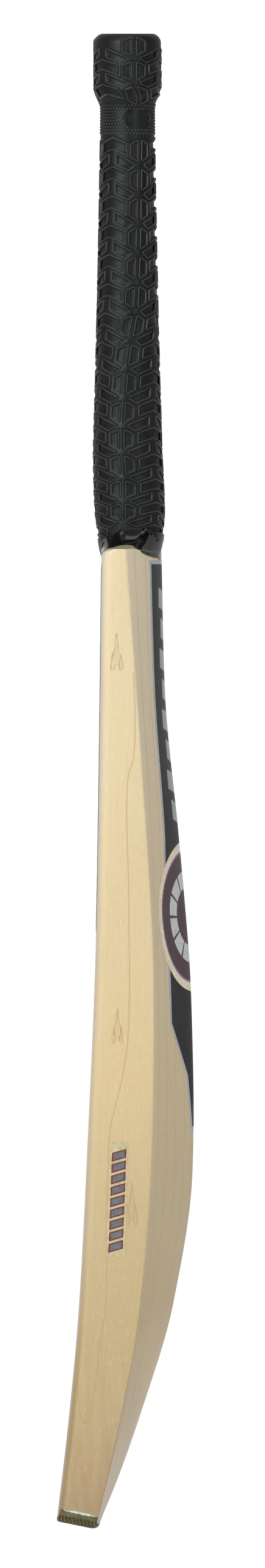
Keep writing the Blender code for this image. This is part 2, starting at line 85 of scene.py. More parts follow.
FACE_SWEEP_SHAPE = (
    (0.0, 1.0),
    (0.12, 0.70),
    (0.23, 0.49),
    (0.40, 0.30),
    (0.60, 0.125),
    (0.80, 0.05),
    (1.0, 0.0),
)
EDGE_SHAPE = ((0.0, 0.62), (0.10, 0.79), (0.22, 0.94), (0.36, 1.0), (0.55, 0.92), (0.76, 0.69), (1.0, 0.385))
SPINE_SHAPE = (
    (0.0, 0.385),
    (0.05, 0.52),
    (0.12, 0.675),
    (0.23, 0.885),
    (0.36, 1.0),
    (0.53, 0.92),
    (0.70, 0.765),
    (0.86, 0.605),
    (1.0, 0.56),
)
BACK_POWER_SHAPE = ((0.0, 1.2), (0.15, 1.0), (0.45, 0.95), (0.63, 0.85), (0.72, 1.30), (1.0, 1.80))

FOOT_DEPTH, FOOT_WIDTH = 0.0325, 0.0300
SWELL_DEPTH, SWELL_WIDTH = 0.0339, 0.0284
NECK_DEPTH, NECK_WIDTH = 0.0249, 0.0235
KNOB_DEPTH, KNOB_WIDTH = 0.0324, 0.0300
FOOT_SETBACK = 0.0022
FOOT_BELOW_SHOULDER = 0.0055
SWELL_ABOVE_SHOULDER = 0.032
NECK_BELOW_TOP = 0.043
KNOB_BELOW_TOP = 0.031
SETBACK_ABOVE_SHOULDER = 0.055
HANDLE_TAPER = ((0.14, 0.88), (0.33, 0.61), (0.53, 0.38), (0.81, 0.11))
SPLICE_LENGTH = 0.150
SPLICE_TIP_WIDTH = 0.0070

GRIP_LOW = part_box("rubber_grip")[0][2]
GRIP_OUTER = 0.0033
GRIP_INNER = 0.0013
GRIP_END_WALL = 0.0008
GRIP_END_TAPER = 0.016
GRIP_RIM_RADIUS = 0.0055
GRIP_OPENING_INSET = 0.0065
GRIP_LIP, GRIP_LIP_SLOPE = 0.0018, 0.004
RELIEF_LIP = 0.00050
RELIEF_POCKET = 0.00085

GUARD_THICKNESS = 0.0030
GUARD_HEIGHT = 0.0068
GUARD_CORNER_RADIUS = 0.0120
GUARD_INNER_RADIUS = 0.0080
GUARD_END_SETBACK = 0.0010
TOE_OVERSIZE = 0.0005
TOE_TILT = math.radians(11.5)
GLUE_GAP = 0.0003


# ================================================================ curves
def smooth_curve(points):
    """Return a function through (place, value) points that never overshoots them."""
    places = [place for place, value in points]
    values = [value for place, value in points]
    slopes = [(values[i + 1] - values[i]) / (places[i + 1] - places[i]) for i in range(len(points) - 1)]
    tangents = [slopes[0]]
    for before, after in zip(slopes, slopes[1:]):
        same_way = before * after > 0
        tangents.append(2 * before * after / (before + after) if same_way else 0.0)
    tangents.append(slopes[-1])

    def value_at(place):
        place = min(max(place, places[0]), places[-1])
        i = 0
        while i < len(slopes) - 1 and place > places[i + 1]:
            i += 1
        span = places[i + 1] - places[i]
        t = (place - places[i]) / span
        rise = values[i] * (1 + 2 * t) * (1 - t) ** 2 + values[i + 1] * t * t * (3 - 2 * t)
        return rise + span * (tangents[i] * t * (1 - t) ** 2 - tangents[i + 1] * t * t * (1 - t))

    return value_at


def clamp(value, low=0.0, high=1.0):
    return min(max(value, low), high)


face_sweep = smooth_curve(FACE_SWEEP_SHAPE)
edge_share = smooth_curve(EDGE_SHAPE)
spine_share = smooth_curve(SPINE_SHAPE)
back_power = smooth_curve(BACK_POWER_SHAPE)


def face_line(z):
    return -FACE_TO_AXIS - FACE_SWEEP * face_sweep(z / BLADE_LENGTH)


def face_surface(x, z):
    return face_line(z) + FACE_BOW * (x / HALF_WIDTH) ** 2


def spine_line(z):
    return face_line(z) + SPINE_DEPTH * spine_share(z / BLADE_LENGTH)


def ridge_line(z):
    return face_line(z) + EDGE_DEPTH * edge_share(z / BLADE_LENGTH)


def back_surface(x, z):
    across = math.hypot(x, SPINE_ROUNDING) - SPINE_ROUNDING
    full = math.hypot(HALF_WIDTH, SPINE_ROUNDING) - SPINE_ROUNDING
    share = min(across / full, 1.0) ** back_power(z / BLADE_LENGTH)
    return spine_line(z) - (spine_line(z) - ridge_line(z)) * share


def shoulder_rise(x):
    """How far the crest of the shoulder has climbed from the edge towards the handle."""
    share = (HALF_WIDTH - abs(x)) / (HALF_WIDTH - FOOT_WIDTH / 2)
    return SHOULDER_RISE * clamp(share) ** 1.5


def shoulder_roll(x):
    """How far the shoulder's rim on the back lies below its crest."""
    share = (0.89 * HALF_WIDTH - abs(x)) / (0.74 * HALF_WIDTH)
    return SHOULDER_ROLL * math.sin(math.radians(90) * clamp(share))


def core_curve(foot, swell, neck, knob):
    swell_height = BLADE_LENGTH + SWELL_ABOVE_SHOULDER
    neck_height = TOTAL_LENGTH - NECK_BELOW_TOP
    points = [(BLADE_LENGTH, foot), (swell_height, swell)]
    for way, left in HANDLE_TAPER:
        points.append((swell_height + way * (neck_height - swell_height), neck + left * (swell - neck)))
    points += [(neck_height, neck), (TOTAL_LENGTH - KNOB_BELOW_TOP, knob), (TOTAL_LENGTH, knob)]
    return smooth_curve(points)


core_depth = core_curve(FOOT_DEPTH, SWELL_DEPTH, NECK_DEPTH, KNOB_DEPTH)
core_width = core_curve(FOOT_WIDTH, SWELL_WIDTH, NECK_WIDTH, KNOB_WIDTH)
core_setback = smooth_curve(
    (
        (BLADE_LENGTH - FOOT_BELOW_SHOULDER, FOOT_SETBACK),
        (BLADE_LENGTH, FOOT_SETBACK * 0.9),
        (BLADE_LENGTH + SETBACK_ABOVE_SHOULDER, 0.0),
    )
)


def oval_point(angle, z, offset):
    """Point around the handle; angle 0 is +X and 90 degrees is +Y."""
    x = (core_width(z) / 2 + offset) * math.cos(angle)
    y = core_setback(z) + (core_depth(z) / 2 + offset) * math.sin(angle)
    return Vector((x, y, z))


# ================================================================ mesh helpers
def mesh_from(name, bm):
    mesh = bpy.data.meshes.new(name)
    bm.to_mesh(mesh)
    bm.free()
    return mesh


def put_in_scene(name, data):
    thing = bpy.data.objects.new(name, data)
    bpy.context.scene.collection.objects.link(thing)
    return thing


def add_piece(name, bm, look, replaces=(), sharp=30):
    """Turn a bmesh into a piece that rides on the bat."""
    bmesh.ops.recalc_face_normals(bm, faces=bm.faces)
    mesh = mesh_from(name, bm)
    mesh.validate()
    mesh.shade_smooth()
    mesh.set_sharp_from_angle(angle=math.radians(sharp))
    mesh.materials.append(look)
    piece = put_in_scene(name, mesh)
    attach(piece, "root")
    if replaces:
        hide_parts(*replaces)
    return piece


def join_rings(bm, rings, closed):
    pairs = list(zip(rings, rings[1:]))
    if closed:
        pairs.append((rings[-1], rings[0]))
    for lower, upper in pairs:
        for i in range(len(lower)):
            j = (i + 1) % len(lower)
            bm.faces.new((lower[i], lower[j], upper[j], upper[i]))


def prism(outline, half_depth):
    bm = bmesh.new()
    front = [bm.verts.new((x, -half_depth, z)) for x, z in outline]
    back = [bm.verts.new((x, half_depth, z)) for x, z in outline]
    join_rings(bm, [front, back], closed=False)
    bm.faces.new(front)
    bm.faces.new(reversed(back))
    return bm


def cut_away(piece, bm):
    """Take a closed shape away from a piece and keep only the result."""
    bmesh.ops.recalc_face_normals(bm, faces=bm.faces)
    cutter = put_in_scene("cutter", mesh_from("cutter", bm))
    step = piece.modifiers.new("Cut", "BOOLEAN")
    step.operation = "DIFFERENCE"
    step.object = cutter
    apply_modifiers(piece)
    bpy.data.objects.remove(cutter, do_unlink=True)


def apply_modifiers(piece):
    bpy.context.view_layer.update()
    evaluated = piece.evaluated_get(bpy.context.evaluated_depsgraph_get())
    mesh = bpy.data.meshes.new_from_object(evaluated)
    old = piece.data
    piece.modifiers.clear()
    piece.data = mesh
    bpy.data.meshes.remove(old)


# ================================================================ material helpers
class Look:
    """A node material built up by short calls; sockets are passed around as values."""

    def __init__(self, name, roughness=0.5, metallic=0.0, colour=(0.5, 0.5, 0.5)):
        self.material = bpy.data.materials.new(name)
        self.material.use_nodes = True
        self.tree = self.material.node_tree
        self.shader = self.tree.nodes["Principled BSDF"]
        self.shader.inputs["Roughness"].default_value = roughness
        self.shader.inputs["Metallic"].default_value = metallic
        self.shader.inputs["Base Color"].default_value = (*colour, 1.0)
        self.place = self.add("ShaderNodeTexCoord").outputs["Object"]

    def add(self, kind, **settings):
        node = self.tree.nodes.new(kind)
        for key, value in settings.items():
            setattr(node, key, value)
        return node

    def feed(self, socket, value):
        if isinstance(value, bpy.types.NodeSocket):
            self.tree.links.new(value, socket)
        elif isinstance(value, (tuple, list)) and socket.type == "RGBA":
            socket.default_value = (*value[:3], 1.0)
        else:
            socket.default_value = value

    def math(self, operation, first, second=0.0):
        node = self.add("ShaderNodeMath", operation=operation)
        self.feed(node.inputs[0], first)
        self.feed(node.inputs[1], second)
        return node.outputs[0]

    def plus(self, first, second):
        return self.math("ADD", first, second)

    def minus(self, first, second):
        return self.math("SUBTRACT", first, second)

    def times(self, first, second):
        return self.math("MULTIPLY", first, second)

    def larger(self, first, second):
        return self.math("MAXIMUM", first, second)

    def between(self, value, low, high):
        """1 where the value lies between two limits, else 0."""
        return self.times(self.math("GREATER_THAN", value, low), self.math("LESS_THAN", value, high))

    def off(self, value, target):
        """How far the value is from the target, whichever side it is on."""
        return self.math("ABSOLUTE", self.minus(value, target))

    def axes(self, vector=None):
        node = self.add("ShaderNodeSeparateXYZ")
        self.feed(node.inputs[0], vector or self.place)
        return node.outputs

    def stretched(self, scale):
        node = self.add("ShaderNodeVectorMath", operation="MULTIPLY")
        self.feed(node.inputs[0], self.place)
        node.inputs[1].default_value = scale
        return node.outputs[0]

    def noise(self, scale, detail=2.0, roughness=0.5):
        node = self.add("ShaderNodeTexNoise")
        self.feed(node.inputs["Vector"], self.stretched(scale))
        node.inputs["Scale"].default_value = 1.0
        node.inputs["Detail"].default_value = detail
        node.inputs["Roughness"].default_value = roughness
        return node.outputs["Fac"]

    def cells(self, scale):
        node = self.add("ShaderNodeTexVoronoi")
        self.feed(node.inputs["Vector"], self.stretched(scale))
        node.inputs["Scale"].default_value = 1.0
        return node.outputs["Distance"]

    def span(self, value, low, high, to_low=0.0, to_high=1.0):
        """Map a value from low..high to to_low..to_high, held at both ends."""
        node = self.add("ShaderNodeMapRange")
        for socket, number in zip(node.inputs, (value, low, high, to_low, to_high)):
            self.feed(socket, number)
        return node.outputs[0]

    def ramp(self, value, stops):
        node = self.add("ShaderNodeValToRGB")
        self.feed(node.inputs[0], value)
        elements = node.color_ramp.elements
        while len(elements) < len(stops):
            elements.new(0.5)
        for element, (position, colour) in zip(elements, stops):
            element.position = position
            element.color = (*colour, 1.0)
        return node.outputs[0]

    def blend(self, share, first, second, mode="MIX"):
        node = self.add("ShaderNodeMix", data_type="RGBA", blend_type=mode)
        self.feed(node.inputs["Factor"], share)
        self.feed(node.inputs[6], first)
        self.feed(node.inputs[7], second)
        return node.outputs[2]

    def curve(self, value, points):
        node = self.add("ShaderNodeFloatCurve")
        self.feed(node.inputs["Value"], value)
        curve = node.mapping.curves[0]
        for i, (position, height) in enumerate(points):
            if i < 2:
                curve.points[i].location = (position, height)
            else:
                curve.points.new(position, height)
        node.mapping.update()
        return node.outputs[0]

    def normal(self):
        return self.axes(self.add("ShaderNodeNewGeometry").outputs["Normal"])

    def set(self, **values):
        for name, value in values.items():
            self.feed(self.shader.inputs[name.replace("_", " ")], value)

    def bump(self, height, strength, distance):
        node = self.add("ShaderNodeBump")
        node.inputs["Strength"].default_value = strength
        node.inputs["Distance"].default_value = distance
        self.feed(node.inputs["Height"], height)
        self.tree.links.new(node.outputs[0], self.shader.inputs["Normal"])


# ================================================================ materials
# Ribs of the toe guard, and the height above the sole where they end.
RIB_PITCH, RIB_HEIGHT = 0.0021, 0.00018
RIBS_TOP, RIBS_FADE = 0.0042, 0.0008


def willow_look():
    look = Look("willow", roughness=0.42)
    x, y, z = look.axes()
    height = look.span(z, 0.0, BLADE_LENGTH)
    tone = look.ramp(
        height,
        (
            (0.0, (0.300, 0.215, 0.112)),
            (0.05, (0.375, 0.275, 0.145)),
            (0.11, (0.420, 0.325, 0.170)),
            (0.20, (0.440, 0.335, 0.170)),
            (0.33, (0.480, 0.375, 0.195)),
            (0.46, (0.570, 0.445, 0.240)),
            (0.70, (0.640, 0.525, 0.310)),
            (1.0, (0.685, 0.575, 0.365)),
        ),
    )
    cloud = look.span(look.noise((25, 25, 7), 3), 0.3, 0.7, 0.0, 0.35)
    colour = look.blend(cloud, tone, look.blend(0.5, tone, (0.75, 0.62, 0.46), "MULTIPLY"))
    fibre = look.noise((1500, 1500, 45), 3, 0.6)
    short = look.noise((2600, 2600, 300), 2, 0.6)
    colour = look.blend(look.span(fibre, 0.50, 0.78, 0.0, 0.26), colour, (0.42, 0.30, 0.16))
    colour = look.blend(look.span(short, 0.55, 0.80, 0.0, 0.22), colour, (0.40, 0.28, 0.15))
    colour = look.blend(look.span(short, 0.45, 0.22, 0.0, 0.20), colour, (0.90, 0.82, 0.64))

    # Growth lines run down the face and the back, and one ring surfaces on the edge.
    sway = look.times(look.minus(look.noise((3, 3, 4), 1), 0.5), 0.004)
    across = look.math("DIVIDE", look.plus(x, sway), 0.0105)
    near_line = look.off(look.math("FRACT", across), 0.5)
    on_edge = look.span(look.math("ABSOLUTE", look.normal()[0]), 0.80, 0.95)
    off_edge = look.minus(1.0, on_edge)
    colour = look.blend(off_edge, colour, look.blend(1.0, colour, (1.03, 1.06, 1.20), "MULTIPLY"))
    line = look.span(near_line, 0.012, 0.055, 0.34, 0.0)
    colour = look.blend(look.times(line, off_edge), colour, (0.36, 0.22, 0.10))
    colour = edge_ring(look, colour, y, z, on_edge)
    colour = butterfly_marks(look, colour, y, z, on_edge)

    # The shoulder's end grain has its own darker olive tan, with light specks that are painted glints of its
    # finish.
    end_grain = look.span(look.normal()[2], 0.50, 0.85, 0.0, 0.92)
    glint_specks = look.span(look.cells((1100, 1100, 1100)), 0.10, 0.30, 0.7, 0.0)
    grain = look.blend(glint_specks, (0.34, 0.29, 0.18), (0.70, 0.61, 0.42))
    colour = look.blend(end_grain, colour, grain)
    stain = look.span(look.noise((130, 130, 14), 4), 0.42, 0.66)
    grime = look.times(look.span(z, 0.12, 0.0), stain)
    colour = look.blend(look.times(grime, 0.55), colour, (0.27, 0.165, 0.08))
    low_back = look.times(look.span(z, 0.17, 0.07), off_edge)
    colour = look.blend(low_back, colour, look.blend(1.0, colour, (0.82, 0.76, 0.60), "MULTIPLY"))
    look.set(Base_Color=colour)
    look.set(Roughness=look.span(fibre, 0.3, 0.7, 0.36, 0.48))
    look.set(Coat_Weight=0.15, Coat_Roughness=0.2)
    look.bump(look.plus(fibre, short), 0.16, 0.0003)
    return look.material


# One growth ring on the edge: height in metres and depth from the handle's axis in millimetres.
EDGE_RING = (
    (0.071, -19.0),
    (0.088, -16.5),
    (0.112, -13.9),
    (0.127, -11.5),
    (0.172, -11.0),
    (0.220, -9.6),
    (0.243, -5.3),
    (0.260, -1.5),
    (0.284, 1.4),
    (0.357, 1.6),
    (0.424, 0.9),
    (0.442, 4.8),
    (0.487, 4.3),
)
# Millimetres that the ring's depths are counted between, then half the line's width in metres.
RING_LOW, RING_HIGH = -30.0, 10.0
RING_HALF_LINE = 0.0001, 0.0006
HOOK_DEPTH, HOOK_TOP, HOOK_RADIUS, HOOK_SQUASH = -0.0228, 0.072, 0.0038, 0.34
BRANCH_TOP, BRANCH_LEAN = 0.094, 0.0012


def edge_ring(look, colour, y, z, on_edge):
    """Thin brown line where one growth ring reaches the edge, with a hook at its lower end."""
    bottom, top = EDGE_RING[0][0], EDGE_RING[-1][0]
    points = []
    for height, depth in EDGE_RING:
        points.append(((height - bottom) / (top - bottom), (depth - RING_LOW) / (RING_HIGH - RING_LOW)))
    share = look.curve(look.span(z, bottom, top), points)
    centre = look.span(share, 0.0, 1.0, RING_LOW * MM, RING_HIGH * MM)
    line = look.span(look.off(y, centre), *RING_HALF_LINE, 0.55, 0.0)
    line = look.times(line, look.between(z, bottom, top))
    squashed = look.times(look.minus(z, HOOK_TOP), HOOK_SQUASH)
    squared = look.math("POWER", look.math("ABSOLUTE", squashed), 2.0)
    sideways = look.math("POWER", look.off(y, HOOK_DEPTH), 2.0)
    radius = look.math("SQRT", look.plus(squared, sideways))
    hook = look.span(look.off(radius, HOOK_RADIUS), *RING_HALF_LINE, 0.5, 0.0)
    hook = look.times(hook, look.math("LESS_THAN", z, HOOK_TOP))
    branch_foot = HOOK_DEPTH - HOOK_RADIUS
    branch_depth = look.span(z, HOOK_TOP, BRANCH_TOP, branch_foot, branch_foot - BRANCH_LEAN)
    branch = look.span(look.off(y, branch_depth), *RING_HALF_LINE, 0.5, 0.0)
    branch = look.times(branch, look.between(z, HOOK_TOP, BRANCH_TOP))
    both = look.times(look.larger(line, look.larger(hook, branch)), on_edge)
    return look.blend(both, colour, (0.40, 0.24, 0.10))


FLAME = ((0.0, 0.0), (0.08, 0.75), (0.28, 1.0), (0.58, 0.50), (1.0, 0.0))
# Butterfly marks: middle height, middle depth, height and width of each.
BUTTERFLIES = (
    (0.4985, -0.0053, 0.0210, 0.0066),
    (0.2860, -0.0048, 0.0200, 0.0060),
    (0.1855, 0.0033, 0.0260, 0.0064),
)


def flame(look, y, z, centre_y, low, high, half_width):
    """Thin outline of one pointed flame in the wood, with a faint fill."""
    up = look.span(z, low, high)
    reach = look.times(look.curve(up, FLAME), half_width)
    beyond = look.minus(look.off(y, centre_y), reach)
    line = look.span(look.math("ABSOLUTE", beyond), 0.00010, 0.00048, 0.75, 0.0)
    fill = look.span(beyond, 0.0, -0.0004, 0.0, 0.18)
    return look.times(look.larger(line, fill), look.between(z, low, high))


def butterfly_marks(look, colour, y, z, on_edge):
    """Small flame-like figures in the edge: one tall flame with a shorter one on each side."""
    wobble = look.times(look.minus(look.noise((260, 260, 260), 3), 0.5), 0.0018)
    shaken = look.plus(y, wobble)
    worn = look.span(look.noise((500, 500, 180), 2), 0.30, 0.55, 0.35, 1.0)
    for centre_z, centre_y, tall, wide in BUTTERFLIES:
        low, high = centre_z - tall / 2, centre_z + tall / 2
        figure = flame(look, shaken, z, centre_y, low + tall * 0.12, high, wide * 0.27)
        for side in (-1, 1):
            middle = centre_y + side * wide * 0.36
            figure = look.larger(figure, flame(look, shaken, z, middle, low, low + tall * 0.48, wide * 0.15))
        strength = look.times(look.times(figure, worn), on_edge)
        colour = look.blend(strength, colour, (0.36, 0.235, 0.10))
    return colour


def cane_look():
    look = Look("cane", roughness=0.6)
    fibre = look.noise((1500, 1500, 20), 3)
    stops = (0.3, (0.36, 0.22, 0.10)), (0.5, (0.62, 0.44, 0.24)), (0.75, (0.75, 0.58, 0.36))
    colour = look.ramp(fibre, stops)
    pores = look.span(look.cells((2200, 2200, 8)), 0.05, 0.25, 0.65, 0.0)
    colour = look.blend(pores, colour, (0.16, 0.09, 0.04))
    look.set(Base_Color=colour)
    look.bump(fibre, 0.3, 0.0003)
    return look.material


def rubber_look(name, dark, light, roughness, grain):
    look = Look(name, roughness=roughness)
    cloud = look.noise((90, 90, 60), 4, 0.6)
    colour = look.ramp(cloud, ((0.3, dark), (0.75, light)))
    look.set(Base_Color=colour)
    look.set(Roughness=look.span(cloud, 0.3, 0.7, roughness - 0.06, roughness + 0.1))
    look.bump(look.noise((grain, grain, grain), 2), 0.25, 0.0002)
    return look


def grip_look(name, dark, light, specular):
    """Black rubber with painted shade in its grooves: ambient occlusion darkens its colour and its shine
    there.
    """
    look = Look(name, roughness=0.34)
    cloud = look.noise((90, 90, 60), 4, 0.6)
    colour = look.ramp(cloud, ((0.3, dark), (0.75, light)))
    groove_shade_ao = look.add("ShaderNodeAmbientOcclusion", samples=6, only_local=True)
    groove_shade_ao.inputs["Distance"].default_value = 0.0014
    clear_of_painted_shade = look.span(groove_shade_ao.outputs["AO"], 0.58, 0.98)
    dust = look.span(look.cells((330, 330, 330)), 0.03, 0.09, 0.75, 0.0)
    patchy = look.span(look.noise((120, 120, 120), 2), 0.60, 0.68)
    colour = look.blend(look.times(dust, patchy), colour, (0.50, 0.52, 0.47))
    # Painted shade: where ambient occlusion finds a groove, the colour goes to near black and the specular
    # level drops.
    look.set(Base_Color=look.blend(clear_of_painted_shade, (0.001, 0.001, 0.001), colour))
    look.set(Specular_IOR_Level=look.times(clear_of_painted_shade, specular))
    look.set(Specular_Tint=(0.72, 0.78, 0.73))
    look.set(Roughness=look.span(cloud, 0.3, 0.7, 0.30, 0.46))
    look.bump(look.noise((2200, 2200, 2200), 2), 0.30, 0.00025)
    return look.material


def tape_look():
    look = Look("tape_film", roughness=0.10, colour=(0.003, 0.003, 0.0035))
    look.set(Specular_IOR_Level=0.4)
    cloud = look.noise((160, 160, 260), 3)
    look.set(Roughness=look.span(cloud, 0.3, 0.7, 0.07, 0.18))
    look.bump(cloud, 0.25, 0.0006)
    return look.material


def twine_look():
    look = Look("twine", roughness=0.9)
    x, y, z = look.axes()
    wraps = look.math("SINE", look.times(z, 2 * math.pi / 0.0009))
    fibre = look.noise((1800, 1800, 900), 3)
    look.set(Base_Color=look.ramp(fibre, ((0.3, (0.42, 0.33, 0.20)), (0.7, (0.72, 0.62, 0.44)))))
    look.bump(wraps, 0.8, 0.0003)
    return look.material


def insert_look():
    look = rubber_look("insert_rubber", (0.018, 0.016, 0.014), (0.05, 0.045, 0.04), 0.8, 1800)
    return look.material


def guard_look():
    look = rubber_look("guard_rubber", (0.085, 0.066, 0.018), (0.150, 0.122, 0.040), 0.60, 1500)
    x, y, z = look.axes()
    up_slope = look.times(look.minus(spine_line(0.0), y), math.tan(TOE_TILT))
    above = look.minus(z, up_slope)
    ribbed = look.span(above, RIBS_TOP + RIBS_FADE / 2, RIBS_TOP - RIBS_FADE / 2)
    lean = look.plus(y, look.times(above, 0.25))
    wave = look.math("SINE", look.times(lean, 2 * math.pi / RIB_PITCH))
    # Painted shade: the grooves between the ribs are painted near black.
    groove = look.times(look.span(wave, -0.1, 0.7, 0.0, 0.85), ribbed)
    stops = (0.35, (0.055, 0.038, 0.012)), (0.7, (0.150, 0.115, 0.045))
    rib = look.ramp(look.noise((900, 900, 900), 3), stops)
    stops = (0.35, (0.085, 0.085, 0.040)), (0.7, (0.135, 0.130, 0.062))
    smooth = look.ramp(look.noise((300, 300, 300), 3), stops)
    colour = look.blend(groove, look.blend(ribbed, smooth, rib), (0.018, 0.012, 0.004))
    look.set(Base_Color=colour)
    look.set(Specular_IOR_Level=0.2)
    return look.material


def glue_look():
    look = Look("dried_glue", roughness=0.25)
    cloud = look.noise((500, 500, 500), 3)
    look.set(Base_Color=look.ramp(cloud, ((0.35, (0.34, 0.37, 0.31)), (0.65, (0.72, 0.76, 0.68)))))
    look.set(Subsurface_Weight=0.3, Subsurface_Scale=0.002)
    look.bump(cloud, 0.3, 0.0004)
    return look.material


def film_look(name, colour, roughness, metallic=0.0, fade=None):
    """Printed sticker film: slight mottling, and a fade between two heights if asked."""
    look = Look(name, roughness=roughness, metallic=metallic)
    mottle = look.noise((420, 420, 420), 4, 0.65)
    darker = tuple(channel * 0.80 for channel in colour)
    lighter = tuple(min(channel * 1.18, 1.0) for channel in colour)
    shade = look.ramp(mottle, ((0.3, darker), (0.7, lighter)))
    if fade:
        low, high, low_colour = fade
        x, y, z = look.axes()
        shade = look.blend(look.span(z, low, high), low_colour, shade)
    look.set(Base_Color=shade)
    look.set(Roughness=look.span(mottle, 0.3, 0.7, roughness - 0.05, roughness + 0.08))
    look.bump(look.noise((60, 60, 25), 2), 0.10, 0.0008)
    return look.material


# ================================================================ blade
FACE_STEPS, CORNER_STEPS, RIDGE_STEPS, BACK_STEPS = 24, 6, 3, 80
BLADE_RINGS, SHOULDER_RINGS = 150, 6
CUT_REACH = 0.2


def blade_section(z, face_inset):
    """Points around the blade at one height, with the side each belongs to."""
    flat_half = HALF_WIDTH - FACE_CORNER_RADIUS
    face = []
    for i in range(FACE_STEPS + 1):
        x = flat_half * (2 * i / FACE_STEPS - 1)
        face.append((x, face_surface(x, z) + face_inset, False))
    corner_y = face_surface(flat_half, z) + face_inset + FACE_CORNER_RADIUS
    right = []
    for i in range(1, CORNER_STEPS + 1):
        angle = math.radians(90) * i / CORNER_STEPS
        x = flat_half + FACE_CORNER_RADIUS * math.sin(angle)
        right.append((x, corner_y - FACE_CORNER_RADIUS * math.cos(angle), False))
    ridge = ridge_line(z)
    below = ridge - RIDGE_RADIUS
    right.append((HALF_WIDTH, (corner_y + below) / 2, False))
    right.append((HALF_WIDTH, below, False))
    inner = HALF_WIDTH - RIDGE_RADIUS
    inner_y = back_surface(inner, z)
    for i in range(1, RIDGE_STEPS):
        t = i / RIDGE_STEPS
        x = HALF_WIDTH * (1 - t) ** 2 + HALF_WIDTH * 2 * t * (1 - t) + inner * t * t
        y = below * (1 - t) ** 2 + ridge * 2 * t * (1 - t) + inner_y * t * t
        right.append((x, y, False))
    back = []
    for i in range(BACK_STEPS + 1):
        x = inner * (1 - 2 * i / BACK_STEPS)
        back.append((x, back_surface(x, z), True))
    left = [(-x, y, side) for x, y, side in reversed(right)]
    return face + right + back + left


def make_blade(look):
    loft_top = BLADE_LENGTH - SHOULDER_BLEND
    straight = SHOULDER_BLEND - SHOULDER_FACE_RADIUS
    levels = [(-BELOW_TOE, 0.0, 0.0)]
    levels += [(loft_top * i / BLADE_RINGS, 0.0, 0.0) for i in range(BLADE_RINGS + 1)]
    levels.append((loft_top + straight, 0.0, straight / SHOULDER_BLEND))
    for i in range(1, SHOULDER_RINGS + 1):
        angle = SHOULDER_FACE_TURN * i / SHOULDER_RINGS
        climbed = math.sin(angle) / math.sin(SHOULDER_FACE_TURN)
        height = loft_top + straight + SHOULDER_FACE_RADIUS * climbed
        inset = SHOULDER_FACE_RADIUS * (1 - math.cos(angle))
        levels.append((height, inset, (height - loft_top) / SHOULDER_BLEND))
    bm = bmesh.new()
    rings = []
    for height, inset, share in levels:
        ring = []
        for x, y, on_back in blade_section(height, inset):
            if on_back:
                lift = shoulder_rise(x) - shoulder_roll(x)
            else:
                face = face_line(height)
                lift = shoulder_rise(x) * clamp((y - face) / (CREST_OFFSET - face))
            ring.append(bm.verts.new((x, y, height + share * lift)))
        rings.append(ring)
    rim = [vert.co.copy() for vert in rings[-1]]
    for pull in (0.35, 0.7, 1.0):
        ring = []
        for place in rim:
            x = place.x * (1 - CREST_NARROWING * pull)
            y = CREST_OFFSET + (place.y - CREST_OFFSET) * (1 - pull * (1 - CREST_SHARE))
            climb = pull ** 0.8
            ring.append(bm.verts.new((x, y, place.z + (BLADE_LENGTH + shoulder_rise(x) - place.z) * climb)))
        rings.append(ring)
    join_rings(bm, rings, closed=False)
    bm.faces.new(reversed(rings[0]))
    cap = bm.faces.new(rings[-1])
    bmesh.ops.triangulate(bm, faces=[cap])
    blade = add_piece("blade_wood", bm, look, ("blade",))
    half_foot = FOOT_WIDTH / 2 + GLUE_GAP
    half_tip = SPLICE_TIP_WIDTH / 2 + GLUE_GAP
    foot_z = BLADE_LENGTH - FOOT_BELOW_SHOULDER
    tip_z = BLADE_LENGTH - SPLICE_LENGTH - GLUE_GAP
    high = BLADE_LENGTH + 2 * SHOULDER_RISE
    slot = [(-half_tip, tip_z), (half_tip, tip_z), (half_foot, foot_z), (half_foot, high)]
    slot += [(-half_foot, high), (-half_foot, foot_z)]
    cut_away(blade, prism(slot, CUT_REACH))
    seat_top = GUARD_HEIGHT + GLUE_GAP
    seat_half = HALF_WIDTH - GUARD_END_SETBACK - GLUE_GAP
    seat = both_sides(toe_curve(seat_half, GUARD_THICKNESS + GLUE_GAP, GUARD_INNER_RADIUS, seat_top, 12))
    far = BLADE_WIDTH
    seat += [(far, seat_top), (far, -far), (-far, -far), (-far, seat_top)]
    cut_away(blade, tilt_to_toe(prism(seat, CUT_REACH)))
    outside = HALF_WIDTH + TOE_OVERSIZE
    corner = both_sides(toe_curve(outside, 0.0, GUARD_CORNER_RADIUS, GUARD_CORNER_RADIUS, 16))
    corner += [(outside, far), (far, far), (far, -far), (-far, -far), (-far, far), (-outside, far)]
    cut_away(blade, tilt_to_toe(prism(corner, CUT_REACH)))
    blade.data.shade_smooth()
    blade.data.set_sharp_from_angle(angle=math.radians(32))
    return blade


# ================================================================ toe guard
def toe_curve(half_width, bottom, radius, top, steps):
    """Right half of a U around the toe, from its lowest middle point to its upper end."""
    points = []
    end_angle = math.asin(min((bottom + radius - top) / radius, 1.0))
    for i in range(steps + 1):
        angle = math.radians(90) - (math.radians(90) - end_angle) * i / steps
        x = half_width - radius + radius * math.cos(angle)
        points.append((x, bottom + radius - radius * math.sin(angle)))
    return points


def both_sides(right_half):
    return [(-x, z) for x, z in reversed(right_half)] + right_half


def tilt_to_toe(bm):
    lean = Matrix.Translation((0.0, spine_line(0.0), 0.0)) @ Matrix.Rotation(-TOE_TILT, 4, "X")
    bmesh.ops.transform(bm, matrix=lean, verts=bm.verts)
    return bm


